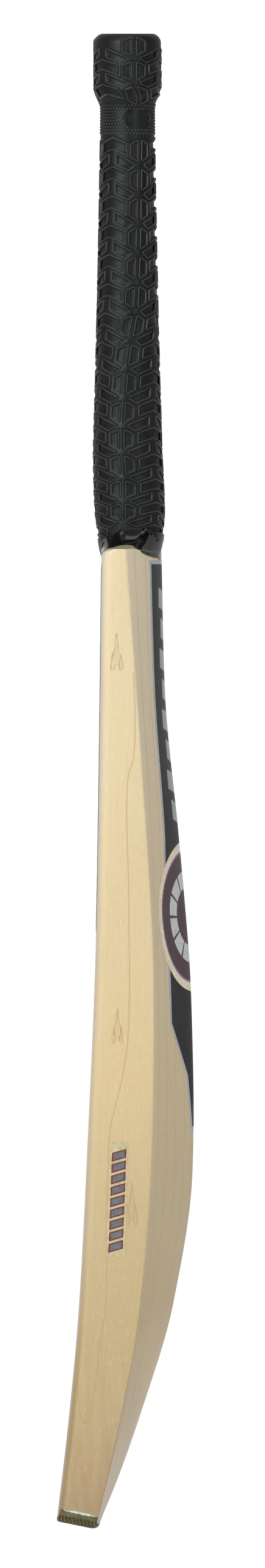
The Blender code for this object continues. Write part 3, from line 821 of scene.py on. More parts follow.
def toe_point(x, above_sole, share):
    """Point at a share of the blade's depth, 0 at the face and 1 at the back."""
    back_edge = spine_line(0.0)
    rise, shift = above_sole * math.cos(TOE_TILT), above_sole * math.sin(TOE_TILT)
    limits = []
    for surface in (face_surface, back_surface):
        y = surface(x, 0.0)
        for _ in range(4):
            height = rise + (back_edge - y - shift) * math.tan(TOE_TILT)
            y = surface(x, max(height, 0.0))
        limits.append(y)
    y = limits[0] + (limits[1] - limits[0]) * share
    along = (y - back_edge - shift) / math.cos(TOE_TILT)
    return Vector((x, y, rise - along * math.sin(TOE_TILT)))


GUARD_BACK_RADIUS, GUARD_FACE_RADIUS = 0.0030, 0.0010
GUARD_INSET = 0.0002
RIB_LEAN = 0.075
GUARD_CORNER_STEPS, GUARD_FLAT_STEPS, GUARD_DEPTH_STEPS = 14, 24, 84


def guard_outline(half_width, bottom, radius):
    """Whole U around the toe, with the flat under the sole cut into even steps."""
    outline = both_sides(toe_curve(half_width, bottom, radius, GUARD_HEIGHT, GUARD_CORNER_STEPS))
    middle = len(outline) // 2
    left, right = outline[middle - 1], outline[middle]
    step = (right[0] - left[0]) / GUARD_FLAT_STEPS
    flat = [(left[0] + step * i, left[1]) for i in range(1, GUARD_FLAT_STEPS)]
    return outline[:middle] + flat + outline[middle:]


def rounded_cut(distance, radius):
    """How deep a rounded edge cuts in at some distance from the edge."""
    if distance >= radius:
        return 0.0
    return radius - math.sqrt(radius ** 2 - (radius - distance) ** 2)


def make_toe_guard(look):
    """Ribbed sheet under the sole, carried up both corners; its ends are a smooth band."""
    outer = guard_outline(HALF_WIDTH + TOE_OVERSIZE - GUARD_INSET, 0.0, GUARD_CORNER_RADIUS)
    inner = guard_outline(HALF_WIDTH - GUARD_END_SETBACK, GUARD_THICKNESS, GUARD_INNER_RADIUS)
    last = GUARD_DEPTH_STEPS
    shares = [j / last for j in range(last + 1)]
    bm = bmesh.new()
    outer_rows, inner_rows = [], []
    for index, (x, above) in enumerate(outer):
        row = []
        before = Vector(outer[max(index - 1, 0)])
        after = Vector(outer[min(index + 1, len(outer) - 1)])
        tangent = (after - before).normalized()
        outwards = Vector((tangent.y, -tangent.x))
        ribbed = clamp((RIBS_TOP - above) / RIBS_FADE)
        face_edge, back_edge = toe_point(x, above, 0.0).y, toe_point(x, above, 1.0).y
        for share in shares:
            y = toe_point(x, above, share).y
            face_cut = rounded_cut(y - face_edge, GUARD_FACE_RADIUS)
            cut = max(face_cut, rounded_cut(back_edge - y, GUARD_BACK_RADIUS))
            along_ribs = y + RIB_LEAN * abs(x - HALF_WIDTH)
            groove = 0.5 - 0.5 * math.cos(2 * math.pi * along_ribs / RIB_PITCH)
            push = -cut - ribbed * RIB_HEIGHT * groove ** 2
            moved = toe_point(x + outwards.x * push, above + outwards.y * push, share)
            row.append(bm.verts.new(moved))
        outer_rows.append(row)
        inner_x, inner_above = inner[index]
        inner_rows.append([bm.verts.new(toe_point(inner_x, inner_above, share)) for share in shares])
    for rows, flip in ((outer_rows, False), (inner_rows, True)):
        for a, b in zip(rows, rows[1:]):
            for j in range(last):
                quad = (a[j], a[j + 1], b[j + 1], b[j])
                bm.faces.new(reversed(quad) if flip else quad)
    for i in range(len(outer) - 1):
        for j in (0, last):
            bm.faces.new((outer_rows[i][j], outer_rows[i + 1][j], inner_rows[i + 1][j], inner_rows[i][j]))
    for i in (0, len(outer) - 1):
        for j in range(last):
            bm.faces.new((outer_rows[i][j], outer_rows[i][j + 1], inner_rows[i][j + 1], inner_rows[i][j]))
    add_piece("toe_guard_rubber", bm, look, ("toe_guard",), sharp=50)


BEAD_STEPS, BEAD_SIDES = 60, 10
BEAD_START, BEAD_RUN = 0.10, 0.88
BEAD_HALF_TALL, BEAD_HALF_THICK = 0.00078, 0.00042
BEAD_ABOVE, BEAD_SUNK = 0.0005, 0.0003


def make_glue_beads(look):
    """Squeezed-out glue along the upper end of the guard on both edges."""
    corner = HALF_WIDTH + TOE_OVERSIZE - GUARD_CORNER_RADIUS
    for name, side in (("glue_bead_right", 1), ("glue_bead_left", -1)):
        bm = bmesh.new()
        rings = []
        for i in range(BEAD_STEPS + 1):
            share = BEAD_START + BEAD_RUN * i / BEAD_STEPS
            wobble = 0.0004 * noise.noise(Vector((share * 9.0, side * 3.0, 0.0)))
            swelling = 0.00030 * noise.noise(Vector((share * 14.0, side, 5.0)))
            taper = math.sin(math.pi * clamp(i / BEAD_STEPS, 0.02, 0.98)) ** 0.35
            above = GUARD_HEIGHT + BEAD_ABOVE + wobble
            half_tall, half_thick = (BEAD_HALF_TALL + swelling) * taper, BEAD_HALF_THICK * taper
            ring = []
            for k in range(BEAD_SIDES):
                turn = 2 * math.pi * k / BEAD_SIDES
                lift = above + half_tall * math.sin(turn)
                drop = GUARD_CORNER_RADIUS - min(lift, GUARD_CORNER_RADIUS)
                wall = min(corner + math.sqrt(GUARD_CORNER_RADIUS ** 2 - drop ** 2), HALF_WIDTH)
                x = wall - BEAD_SUNK + half_thick * math.cos(turn)
                point = toe_point(min(x, HALF_WIDTH), lift, share)
                ring.append(bm.verts.new((side * x, point.y, point.z)))
            rings.append(ring)
        join_rings(bm, rings, closed=False)
        bm.faces.new(rings[0])
        bm.faces.new(rings[-1])
        add_piece(name, bm, look, sharp=60)


# ================================================================ grip
HUB_HEIGHTS = ((0.0, 0.7920), (8.0, 0.6595), (10.0, 0.6273), (12.0, 0.5978), (14.0, 0.5718))
PERIOD_ABOVE, PERIOD_BELOW = 0.0166, 0.0128
HUB_TWIST = (
    (0.562, -18.0),
    (0.575, -11.0),
    (0.600, -8.0),
    (0.620, -10.0),
    (0.645, -6.0),
    (0.665, 0.0),
    (0.700, 18.0),
    (0.795, 28.0),
    (0.8135, 22.0),
    (0.822, 12.0),
    (0.850, 12.0),
)
KNOB_HUB, KNOB_PERIOD, KNOB_LOW = 0.8361, 0.0140, 0.8092
BAND_LOW, BAND_HIGH = 0.7955, 0.8085
NUBS_LOW, NUBS_HIGH, NUB_PITCH, NUB_ROW = 0.7925, 0.8115, 0.0020, 0.87
# Blank oblong panel in the band: direction in degrees, half its straight length, and its radius.
PANEL_TURN, PANEL_REACH, PANEL_RADIUS = 28, 0.0050, 0.0052
# Tiles around one hub: (degrees from the hub column, periods above the hub).
KITE = ((9.5, 0.0), (51, 0.38), (51, 0.02), (23, -0.20))
HALF_HEXAGON = ((4.5, -0.16), (20.5, -0.30), (20.5, -0.74), (4.5, -0.88))
CHEVRON = ((60, -0.06), (29, -0.27), (29, -0.66), (60, -0.46), (91, -0.66), (91, -0.27))
hub_height = smooth_curve(HUB_HEIGHTS)
hub_twist = smooth_curve(HUB_TWIST)


def shaft_height(row):
    """Height of a hub on the shaft; rows count downwards and may lie between hubs."""
    last_row, last_height = HUB_HEIGHTS[-1]
    if row < 0:
        return HUB_HEIGHTS[0][1] - row * PERIOD_ABOVE
    if row > last_row:
        return last_height - (row - last_row) * PERIOD_BELOW
    return hub_height(row)


def knob_height(row):
    return KNOB_HUB - row * KNOB_PERIOD


def mean_radius(z):
    return (core_depth(z) + core_width(z)) / 4 + GRIP_OUTER


def tiles():
    """Every moulded tile as a closed list of (metres round from its hub column, height, hub column)."""
    found = []
    for height_of, rows in ((knob_height, (-1, 0, 1)), (shaft_height, range(0, 16))):
        on_knob = height_of is knob_height
        for row in rows:
            for column in range(3):
                for shape, sides in ((KITE, (1, -1)), (HALF_HEXAGON, (1, -1)), (CHEVRON, (1,))):
                    for side in sides:
                        corners = []
                        for angle, share in shape:
                            z = height_of(row - share)
                            corners.append((side * math.radians(angle) * mean_radius(z), z))
                        heights = [z for across, z in corners]
                        if on_knob and (min(heights) < KNOB_LOW or max(heights) > TOTAL_LENGTH - 0.0014):
                            continue
                        if not on_knob and (max(heights) > BAND_LOW + 0.0015 or min(heights) < GRIP_LOW):
                            continue
                        found.append((corners, column))
    return found


def rounded(corners, radius, spacing):
    """Closed path through the corners with each one rounded off, in even short steps."""
    path = []
    count = len(corners)
    for i in range(count):
        before, here, after = (Vector(corners[(i + k) % count]) for k in (-1, 0, 1))
        back, on = before - here, after - here
        reach = min(radius, back.length * 0.4, on.length * 0.4)
        start, end = here + back.normalized() * reach, here + on.normalized() * reach
        for t in (0.0, 0.25, 0.5, 0.75, 1.0):
            path.append(start * (1 - t) ** 2 + here * 2 * t * (1 - t) + end * t * t)
    even = []
    for i, point in enumerate(path):
        run = path[(i + 1) % len(path)] - point
        steps = max(1, math.ceil(run.length / spacing))
        even += [point + run * (k / steps) for k in range(steps)]
    return even


def polygon_distance(across, up, corners):
    """Signed distance of points to a closed polygon, negative inside."""
    nearest = np.full(across.shape, 1e9)
    inside = np.zeros(across.shape, bool)
    for (ax, ay), (bx, by) in zip(corners, corners[1:] + corners[:1]):
        run_x, run_y = bx - ax, by - ay
        t = ((across - ax) * run_x + (up - ay) * run_y) / (run_x ** 2 + run_y ** 2)
        t = np.clip(t, 0, 1)
        nearest = np.minimum(nearest, np.hypot(across - ax - t * run_x, up - ay - t * run_y))
        if ay != by:
            crosses = (ay > up) != (by > up)
            inside ^= crosses & (across < ax + (up - ay) * run_x / run_y)
    return np.where(inside, -nearest, nearest)


def smooth_step(value, low, high):
    t = np.clip((value - low) / (high - low), 0, 1)
    return t * t * (3 - 2 * t)


def pocket_row(degrees, z, moulded):
    """Depth of the tiles' pockets round one ring of the grip, in metres."""
    distance = np.full(degrees.shape, 1.0)
    for corners, column in moulded:
        heights = [height for across, height in corners]
        if not min(heights) - 0.001 < z < max(heights) + 0.001:
            continue
        from_hub = (degrees - hub_twist(z) - 120 * column + 180) % 360 - 180
        across = np.radians(from_hub) * mean_radius(z)
        distance = np.minimum(distance, polygon_distance(across, np.full(degrees.shape, z), corners))
    rim = -0.00025 * (1 - smooth_step(distance, 0.00045, 0.00110))
    return np.minimum(-RELIEF_POCKET * smooth_step(-distance, 0.0, 0.00070), rim)


# Half of the lip's section, and the panel's: (metres aside, lift over the grip's surface).
LIP_SIDE = ((0.00012, RELIEF_LIP), (0.00036, 0.00030), (0.00058, -0.00020))
PANEL_PROFILE = ((-0.00035, -0.0001), (0.0, RELIEF_LIP), (0.00035, -0.0001))
NUB_PROFILE = ((0.00086, -0.00010), (0.00066, 0.00034), (0.00032, 0.00044))
LIP_CORNER, LIP_SPACING = 0.0011, 0.0010


def bead_ring(bm, point, before, after, profile, start_at):
    """One ring of a raised bead that follows a path drawn on the grip's surface."""
    run = Vector((after[0] - before[0], after[1] - before[1])).normalized()
    ring = []
    for aside, lift in profile:
        across, z = point[0] - run.y * aside, point[1] + run.x * aside
        angle = start_at(z) + across / mean_radius(z)
        ring.append(bm.verts.new(oval_point(angle, z, outer_offset(z) + lift)))
    return ring


def add_bead(bm, path, profile, start_at):
    """Closed raised bead; start_at gives the direction, in radians, that its path is measured from."""
    count = len(path)
    rings = [
        bead_ring(bm, path[i], path[i - 1], path[(i + 1) % count], profile, start_at) for i in range(count)
    ]
    join_rings(bm, rings, closed=True)


def make_grip_lips(look, moulded):
    """Raised rounded lip round every tile."""
    profile = [(-aside, lift) for aside, lift in reversed(LIP_SIDE)] + list(LIP_SIDE)
    for column in range(3):
        bm = bmesh.new()
        for corners, home in moulded:
            if home == column:
                path = rounded(corners, LIP_CORNER, LIP_SPACING)
                add_bead(bm, path, profile, lambda z: math.radians(hub_twist(z) + 120 * column))
        add_piece("grip_lips_%d" % (column + 1), bm, look, sharp=80)


def make_grip_nubs(look):
    """Staggered rows of small six-sided nubs below the knob, with one plain oblong panel left blank."""
    centre = (BAND_LOW + BAND_HIGH) / 2
    rows = int((NUBS_HIGH - NUBS_LOW) / (NUB_PITCH * NUB_ROW))
    bm = bmesh.new()
    for row in range(rows):
        height = NUBS_LOW + (row + 0.5) * NUB_PITCH * NUB_ROW
        count = round(2 * math.pi * mean_radius(height) / NUB_PITCH)
        for step in range(count):
            middle = 2 * math.pi * (step + (row % 2) / 2) / count
            away = (math.degrees(middle) - PANEL_TURN + 180) % 360 - 180
            across = abs(math.radians(away)) * mean_radius(height)
            if math.hypot(max(across - PANEL_REACH, 0), height - centre) < PANEL_RADIUS:
                continue
            rings = []
            for reach, lift in NUB_PROFILE:
                ring = []
                for k in range(6):
                    turn = math.radians(60 * k + 30)
                    z = height + reach * math.sin(turn)
                    angle = middle + reach * math.cos(turn) / mean_radius(z)
                    ring.append(bm.verts.new(oval_point(angle, z, outer_offset(z) + lift)))
                rings.append(ring)
            join_rings(bm, rings, closed=False)
            bm.faces.new(rings[-1])
            bm.faces.new(rings[0])
    for inner in (0.0044, 0.0030):
        outline = arc_points((PANEL_REACH, centre), inner, -90, 90, 12)
        outline += arc_points((-PANEL_REACH, centre), inner, 90, 270, 12)
        add_bead(bm, outline, PANEL_PROFILE, lambda z: math.radians(PANEL_TURN))
    add_piece("grip_nubs", bm, look, sharp=60)


def grip_outer(z):
    share = clamp((z - GRIP_LOW) / GRIP_END_TAPER)
    return GRIP_INNER + GRIP_END_WALL + share * (GRIP_OUTER - GRIP_INNER - GRIP_END_WALL) - RELIEF_LIP


def outer_offset(z):
    """Offset of the grip's smooth surface, following the rounded rim at the top."""
    rim_start = TOTAL_LENGTH - GRIP_RIM_RADIUS
    if z <= rim_start:
        return grip_outer(z)
    climb = min((z - rim_start) / GRIP_RIM_RADIUS, 1.0)
    return grip_outer(rim_start) - GRIP_RIM_RADIUS * (1 - math.sqrt(1 - climb ** 2))


GRIP_COLUMNS, GRIP_ROWS, RIM_STEPS, BORE_STEPS = 192, 450, 14, 12


def make_grip(look, lit_lip_look):
    moulded = tiles()
    # The lips and nubs take the lighter copy of the rubber, a painted highlight on the raised parts.
    make_grip_lips(lit_lip_look, moulded)
    make_grip_nubs(lit_lip_look)
    rim_start = TOTAL_LENGTH - GRIP_RIM_RADIUS
    heights = [GRIP_LOW + (rim_start - GRIP_LOW) * i / (GRIP_ROWS - 1) for i in range(GRIP_ROWS)]
    for i in range(1, RIM_STEPS + 1):
        turn = math.radians(90) * i / RIM_STEPS
        heights.append(rim_start + (GRIP_RIM_RADIUS - 0.0001) * math.sin(turn))
    outline = [(z, outer_offset(z), True) for z in heights]
    lip_low = TOTAL_LENGTH - GRIP_LIP
    opening = -GRIP_OPENING_INSET
    outline += [(TOTAL_LENGTH - 0.0003, opening + 0.0004, False), (TOTAL_LENGTH - 0.0009, opening, False)]
    wall_top = lip_low - GRIP_LIP_SLOPE
    outline += [(lip_low, opening, False), (lip_low, GRIP_INNER - GRIP_LIP_SLOPE, False)]
    outline += [(wall_top, GRIP_INNER, False)]
    bore = [wall_top - (wall_top - GRIP_LOW) * i / BORE_STEPS for i in range(1, BORE_STEPS + 1)]
    outline += [(z, GRIP_INNER, False) for z in bore]
    degrees = np.arange(GRIP_COLUMNS) * 360 / GRIP_COLUMNS
    bm = bmesh.new()
    rings = []
    for z, offset, pockets in outline:
        relief = pocket_row(degrees, z, moulded) if pockets else np.zeros(GRIP_COLUMNS)
        ring = []
        for turn, height in zip(degrees, relief):
            ring.append(bm.verts.new(oval_point(math.radians(turn), z, offset + height)))
        rings.append(ring)
    join_rings(bm, rings, closed=True)
    add_piece("grip_sleeve", bm, look, ("rubber_grip",), sharp=70)


# ================================================================ tape
# Rim of the tape on the wood, for one half: angle round the handle, then x, y and z.
TAPE_RIM = (
    (-90, 0.0, -0.0150, 0.5525),
    (-68, 0.0160, -0.0150, 0.5532),
    (-45, 0.0320, -0.0138, 0.5552),
    (-30, 0.0360, -0.0108, 0.5566),
    (-16, 0.0350, -0.0078, 0.5578),
    (-4, 0.0285, -0.0038, 0.5594),
    (8, 0.0265, -0.0005, 0.5601),
    (18, 0.0275, 0.0028, 0.5597),
    (26, 0.0300, 0.0055, 0.5586),
    (34, 0.0320, 0.0076, 0.5560),
    (43, 0.0330, 0.0100, 0.5542),
    (55, 0.0300, 0.0126, 0.5530),
    (70, 0.0200, 0.0160, 0.5520),
    (90, 0.0, 0.0190, 0.5514),
)
TAPE_TOP = (
    (-90, 0.5630),
    (-60, 0.5632),
    (-40, 0.5642),
    (-25, 0.5660),
    (-12, 0.5684),
    (26, 0.5688),
    (40, 0.5678),
    (60, 0.5664),
    (90, 0.5648),
)
ON_CREST_UNTIL, ON_SLOPE_FROM = 18, 36
# How the tape turns from the handle onto the wood: share of the way out, and height there.
TAPE_TURN = (
    (-90, 0.25, 0.5565),
    (-62, 0.30, 0.5575),
    (-45, 0.45, 0.5594),
    (-20, 0.38, 0.5604),
    (-4, 0.10, 0.5608),
    (8, 0.08, 0.5614),
    (28, 0.25, 0.5610),
    (42, 0.60, 0.5602),
    (66, 0.55, 0.5594),
    (90, 0.35, 0.5582),
)
tape_turn = [smooth_curve([(row[0], row[column]) for row in TAPE_TURN]) for column in (1, 2)]
tape_top = smooth_curve(TAPE_TOP)
tape_rim = [smooth_curve([(row[0], row[axis]) for row in TAPE_RIM]) for axis in (1, 2, 3)]


def back_reach(y, z):
    """How far from the middle the back of the blade is at one depth."""
    near, far = 0.0, HALF_WIDTH
    for _ in range(30):
        middle = (near + far) / 2
        if back_surface(middle, z) > y:
            near = middle
        else:
            far = middle
    return near


def outside_handle(point, lift):
    """Push a point out of the grip, if it's above the grip's lower end."""
    z = point.z
    if z < GRIP_LOW - 0.0002:
        return point
    offset = grip_outer(max(z, GRIP_LOW)) + RELIEF_LIP + lift
    half_x, half_y = core_width(z) / 2 + offset, core_depth(z) / 2 + offset
    across, along = point.x / half_x, (point.y - core_setback(z)) / half_y
    reach = math.hypot(across, along)
    if reach >= 1:
        return point
    return Vector((point.x / reach, core_setback(z) + along / reach * half_y, z))


TAPE_AROUND, TAPE_ALONG = 180, 30
TAPE_LIFT, TAPE_FILM = 0.00025, 0.00030
# The overlapping end: its direction in degrees, and how far it stands off at the seam.
SEAM_TURN, SEAM_STEP = 50.0, 0.00025


def make_tape(look, blade):
    """Glossy tape that laps the grip and spreads onto the shoulders, with one overlapping end."""
    bpy.context.view_layer.update()
    tree = BVHTree.FromObject(blade, bpy.context.evaluated_depsgraph_get())
    around, along, lift = TAPE_AROUND, TAPE_ALONG, TAPE_LIFT
    sheet = []
    for i in range(around):
        degrees = 360 * i / around
        half_turn = 90 - abs((degrees + 90) % 360 - 180)
        side = 1 if degrees <= 90 or degrees > 270 else -1
        top_z = tape_top(half_turn)
        start = oval_point(math.radians(degrees), top_z, grip_outer(top_z) + RELIEF_LIP + lift)
        end = Vector([curve(half_turn) for curve in tape_rim])
        on_slope = clamp((half_turn - ON_CREST_UNTIL) / (ON_SLOPE_FROM - ON_CREST_UNTIL))
        end.x += (back_reach(end.y, end.z) - end.x) * on_slope
        end.x *= side
        end = tree.find_nearest(end)[0]
        out, knee_z = (curve(half_turn) for curve in tape_turn)
        knee = start.lerp(end, out)
        knee.z = knee_z
        column = []
        for j in range(along + 1):
            t = j / along
            column.append(start * (1 - t) ** 2 + knee * 2 * t * (1 - t) + end * t * t)
        sheet.append(column)
    for pass_number in range(4):
        for i in range(around):
            for j in range(along + 1):
                point = sheet[i][j]
                near, normal, _, _ = tree.find_nearest(point)
                height = (point - near).dot(normal)
                if height < lift:
                    point = near + normal * lift
                sheet[i][j] = outside_handle(point, lift)
        if pass_number < 3:
            smoothed = [[point.copy() for point in column] for column in sheet]
            for i in range(around):
                for j in range(1, along):
                    beside = sheet[i - 1][j] + sheet[(i + 1) % around][j]
                    neighbours = beside + sheet[i][j - 1] + sheet[i][j + 1]
                    smoothed[i][j] = sheet[i][j] * 0.4 + neighbours * 0.15
            sheet = smoothed
    bm = bmesh.new()
    rings = []
    for j in range(along + 1):
        ring = []
        for i in range(around):
            turn = 1.0 - ((360 * i / around - SEAM_TURN) % 360) / 360
            point = sheet[i][j].copy()
            outward = Vector((point.x, point.y - 0.002, 0.0)).normalized()
            ring.append(bm.verts.new(point + outward * SEAM_STEP * turn ** 3))
        rings.append(ring)
    join_rings(bm, rings, closed=False)
    tape = add_piece("tape_wrap", bm, look, ("grip_tape",), sharp=40)
    thicken = tape.modifiers.new("Film", "SOLIDIFY")
    thicken.thickness = TAPE_FILM
    thicken.offset = 1.0
    apply_modifiers(tape)


# ================================================================ stickers
CELL_WIDTH = BLADE_WIDTH / BACK_STEPS
CELL_HEIGHT = 0.006
SLIVER = 0.00008
FILM, FILM_GAP = 0.00005, 0.00006


def drape(name, outline, surface, level, look, replaces=(), direction=(0, 1, 0)):
    """Lay a printed film on the wood: an (across, up) outline at one level above it."""
    bm = bmesh.new()
    face = bm.faces.new([bm.verts.new((x, 0.0, z)) for x, z in outline])
    bmesh.ops.triangulate(bm, faces=[face])
    for axis, cell in ((0, CELL_WIDTH), (2, CELL_HEIGHT)):
        across = Vector((float(axis == 0), 0.0, float(axis == 2)))
        low = min(vert.co[axis] for vert in bm.verts)
        high = max(vert.co[axis] for vert in bm.verts)
        for step in range(math.ceil((low + SLIVER) / cell), math.ceil((high - SLIVER) / cell)):
            everything = bm.verts[:] + bm.edges[:] + bm.faces[:]
            place = across * step * cell
            bmesh.ops.bisect_plane(bm, geom=everything, dist=SLIVER, plane_co=place, plane_no=across)
    bmesh.ops.remove_doubles(bm, verts=bm.verts, dist=SLIVER)
    bmesh.ops.triangulate(bm, faces=bm.faces)
    outward = Vector(direction)
    for vert in bm.verts:
        vert.co = Vector(surface(vert.co.x, vert.co.z)) + outward * (FILM_GAP + level * FILM)
    raised = bmesh.ops.extrude_face_region(bm, geom=bm.faces[:], use_keep_orig=True)
    top = [item for item in raised["geom"] if isinstance(item, bmesh.types.BMVert)]
    bmesh.ops.translate(bm, vec=outward * FILM, verts=top)
    return add_piece(name, bm, look, replaces)


def on_back(x, z):
    return (x, back_surface(x, z), z)


def on_face(x, z):
    return (x, face_surface(x, z), z)


def on_right_edge(y, z):
    return (HALF_WIDTH, y, z)


def arc_points(centre, radius, start, end, steps):
    points = []
    for i in range(steps + 1):
        angle = math.radians(start + (end - start) * i / steps)
        points.append((centre[0] + radius * math.cos(angle), centre[1] + radius * math.sin(angle)))
    return points


def box_points(x_low, x_high, z_low, z_high):
    return [(x_low, z_low), (x_high, z_low), (x_high, z_high), (x_low, z_high)]


LABEL_TOP = BLADE_LENGTH - 0.0065
LABEL_HALF = 0.032
BORDER = 0.0021
EMBLEM = (0.0, BLADE_LENGTH - 0.209)
EMBLEM_RADIUS = 0.0422


def slanted_bar(centre_x, centre_z, length, half_width, lean):
    """Parallelogram whose long way runs across the label."""
    low, high = centre_z - half_width, centre_z + half_width
    left, right = centre_x - length / 2, centre_x + length / 2
    return [(left, low - lean), (right, low + lean), (right, high + lean), (left, high - lean)]


def lay_bars(name, count, top, pitch, lengths, shape, surface, look, direction=(0, 1, 0)):
    """Plain slanted bars down a label, of two lengths by turns, in place of lettering."""
    for i in range(count):
        bar = slanted_bar(0.0, top - i * pitch, lengths[i % 2], *shape)
        drape("%s_%d" % (name, i + 1), bar, surface, 2, look, (), direction)


def make_back_label(black, silver, bars):
    reach = math.degrees(math.acos(LABEL_HALF / EMBLEM_RADIUS))
    sweep = arc_points(EMBLEM, EMBLEM_RADIUS + 0.0001, 180 - reach, reach, 40)
    outline = [(LABEL_HALF, LABEL_TOP), (-LABEL_HALF, LABEL_TOP)] + sweep
    drape("back_label_border", outline, on_back, 0, silver, ("back_label",))
    half = LABEL_HALF - BORDER
    reach = math.degrees(math.acos(half / EMBLEM_RADIUS))
    sweep = arc_points(EMBLEM, EMBLEM_RADIUS + 0.0002, 180 - reach, reach, 40)
    outline = [(half, LABEL_TOP - BORDER), (-half, LABEL_TOP - BORDER)] + sweep
    drape("back_label_field", outline, on_back, 1, black)
    lay_bars("back_label_bar", 8, 0.5265, 0.0172, (0.038, 0.031), (0.0056, 0.0030), on_back, bars)


def make_back_tail(black, silver, copper):
    low = EMBLEM[1] - 0.121

    def tail(inset, drop):
        half = LABEL_HALF - inset
        radius = EMBLEM_RADIUS + 0.0001
        reach = math.degrees(math.acos(half / radius))
        waist, end = 0.0126 - inset * 0.9, 0.0065 - inset * 0.8
        arc = arc_points(EMBLEM, radius, -reach, -180 + reach, 40)
        right = [(end, low + drop), (waist, EMBLEM[1] - 0.090), (half, EMBLEM[1] - 0.060)]
        return arc + [(-x, z) for x, z in reversed(right)] + right

    drape("back_tail_border", tail(0.0, 0.0), on_back, 0, silver, ("back_label_tail",))
    drape("back_tail_field", tail(BORDER, BORDER), on_back, 1, black)
    tip = box_points(-0.0040, 0.0040, low + 0.003, low + 0.014)
    drape("back_tail_tip", tip, on_back, 2, copper)


def make_emblem(cream, maroon, silver, violet):
    def disc(name, radius, level, look, replaces=()):
        drape(name, arc_points(EMBLEM, radius, 0, 355, 71), on_back, level, look, replaces)

    disc("emblem_border", EMBLEM_RADIUS, 0, cream, ("back_emblem",))
    disc("emblem_line", 0.0374, 1, violet)
    disc("emblem_field", 0.0362, 2, maroon)
    count = 12
    for i in range(count):
        start = 360 * i / count + 2
        end = 360 * (i + 1) / count - 2
        outer = arc_points(EMBLEM, 0.0259, start, end, 8)
        inner = arc_points(EMBLEM, 0.0160, end, start, 8)
        drape("emblem_dash_%d" % (i + 1), outer + inner, on_back, 3, silver)


def make_face_label(black, silver, bars):
    top, low = BLADE_LENGTH - 0.008, BLADE_LENGTH - 0.218
    out = (0, -1, 0)
    outline = box_points(-LABEL_HALF, LABEL_HALF, low, top)
    drape("face_label_border", outline, on_face, 0, silver, ("face_label",), out)
    half = LABEL_HALF - BORDER
    field = box_points(-half, half, low + BORDER, top - BORDER)
    drape("face_label_field", field, on_face, 1, black, (), out)
    first, lengths, shape = top - 0.030, (0.034, 0.026), (0.0050, -0.0024)
    lay_bars("face_label_bar", 9, first, 0.0190, lengths, shape, on_face, bars, out)


def make_edge_label(film, red, grey):
    top, low = BLADE_LENGTH - 0.3373, BLADE_LENGTH - 0.402
    middle_top, middle_low = -0.0036, -0.0060
    wide = 0.00535

    def lane(low_side, high_side, start, end, slant=0.0):
        """Leaning strip: sides in metres from the label's middle line, ends as shares of its height."""
        points = []
        for share, side in ((start, low_side), (start, high_side), (end, high_side), (end, low_side)):
            height = low + (top - low) * (share + slant * side)
            points.append((middle_low + (middle_top - middle_low) * share + side, height))
        return points

    out = (1, 0, 0)
    whole = lane(-wide, wide, 0, 1)
    drape("edge_label_film", whole, on_right_edge, 0, film, ("edge_label",), out)
    count, slant = 9, 4.5
    for i in range(count):
        start = 0.05 + 0.90 * i / count
        end = start + 0.90 / count - 0.022
        mark = lane(-0.0041, 0.0041, start, end, slant)
        drape("edge_mark_%d" % (i + 1), mark, on_right_edge, 1, red, (), out)
        core = lane(-0.0032, 0.0032, start + 0.013, end - 0.013, slant)
        drape("edge_mark_core_%d" % (i + 1), core, on_right_edge, 2, grey, (), out)


# ================================================================ surroundings
WHITE_GLOW = 1.05


def make_floor():
    bm = bmesh.new()
    bmesh.ops.create_circle(bm, cap_ends=True, segments=96, radius=1.1)
    mesh = mesh_from("floor", bm)
    look = Look("floor", roughness=0.9, colour=(0.70, 0.70, 0.70))
    look.set(Emission_Color=(1.0, 1.0, 1.0), Emission_Strength=0.62)
    mesh.materials.append(look.material)
    put_in_scene("floor", mesh)


def make_light(name, azimuth, elevation, distance, width, height, power):
    """Area light that faces the middle of the bat; azimuth 0 is in front of the face."""
    target = Vector((0.0, 0.0, TOTAL_LENGTH / 2))
    turn, climb = math.radians(azimuth), math.radians(elevation)
    away = Vector((math.sin(turn) * math.cos(climb), -math.cos(turn) * math.cos(climb), math.sin(climb)))
    data = bpy.data.lights.new(name, "AREA")
    data.shape = "RECTANGLE"
    data.size = width
    data.size_y = height
    data.energy = power
    light = put_in_scene(name, data)
    light.visible_camera = False
    light.location = target + away * distance
    light.rotation_euler = away.to_track_quat("Z", "Y").to_euler()


def make_world():
    world = bpy.data.worlds.new("studio")
    world.use_nodes = True
    tree = world.node_tree
    background = tree.nodes["Background"]
    direction = tree.nodes.new("ShaderNodeTexCoord")
    parts = tree.nodes.new("ShaderNodeSeparateXYZ")
    tree.links.new(direction.outputs["Generated"], parts.inputs[0])
    glow = tree.nodes.new("ShaderNodeMapRange")
    tree.links.new(parts.outputs["X"], glow.inputs["Value"])
    for limit, value in (("From Min", -0.95), ("From Max", -0.99), ("To Min", 0.45), ("To Max", WHITE_GLOW)):
        glow.inputs[limit].default_value = value
    seen = tree.nodes.new("ShaderNodeLightPath")
    strength = tree.nodes.new("ShaderNodeMix")
    tree.links.new(seen.outputs["Is Camera Ray"], strength.inputs[0])
    tree.links.new(glow.outputs[0], strength.inputs[2])
    strength.inputs[3].default_value = WHITE_GLOW
    tree.links.new(strength.outputs[0], background.inputs["Strength"])
    background.inputs["Color"].default_value = (1.0, 1.0, 1.0, 1.0)
    bpy.context.scene.world = world


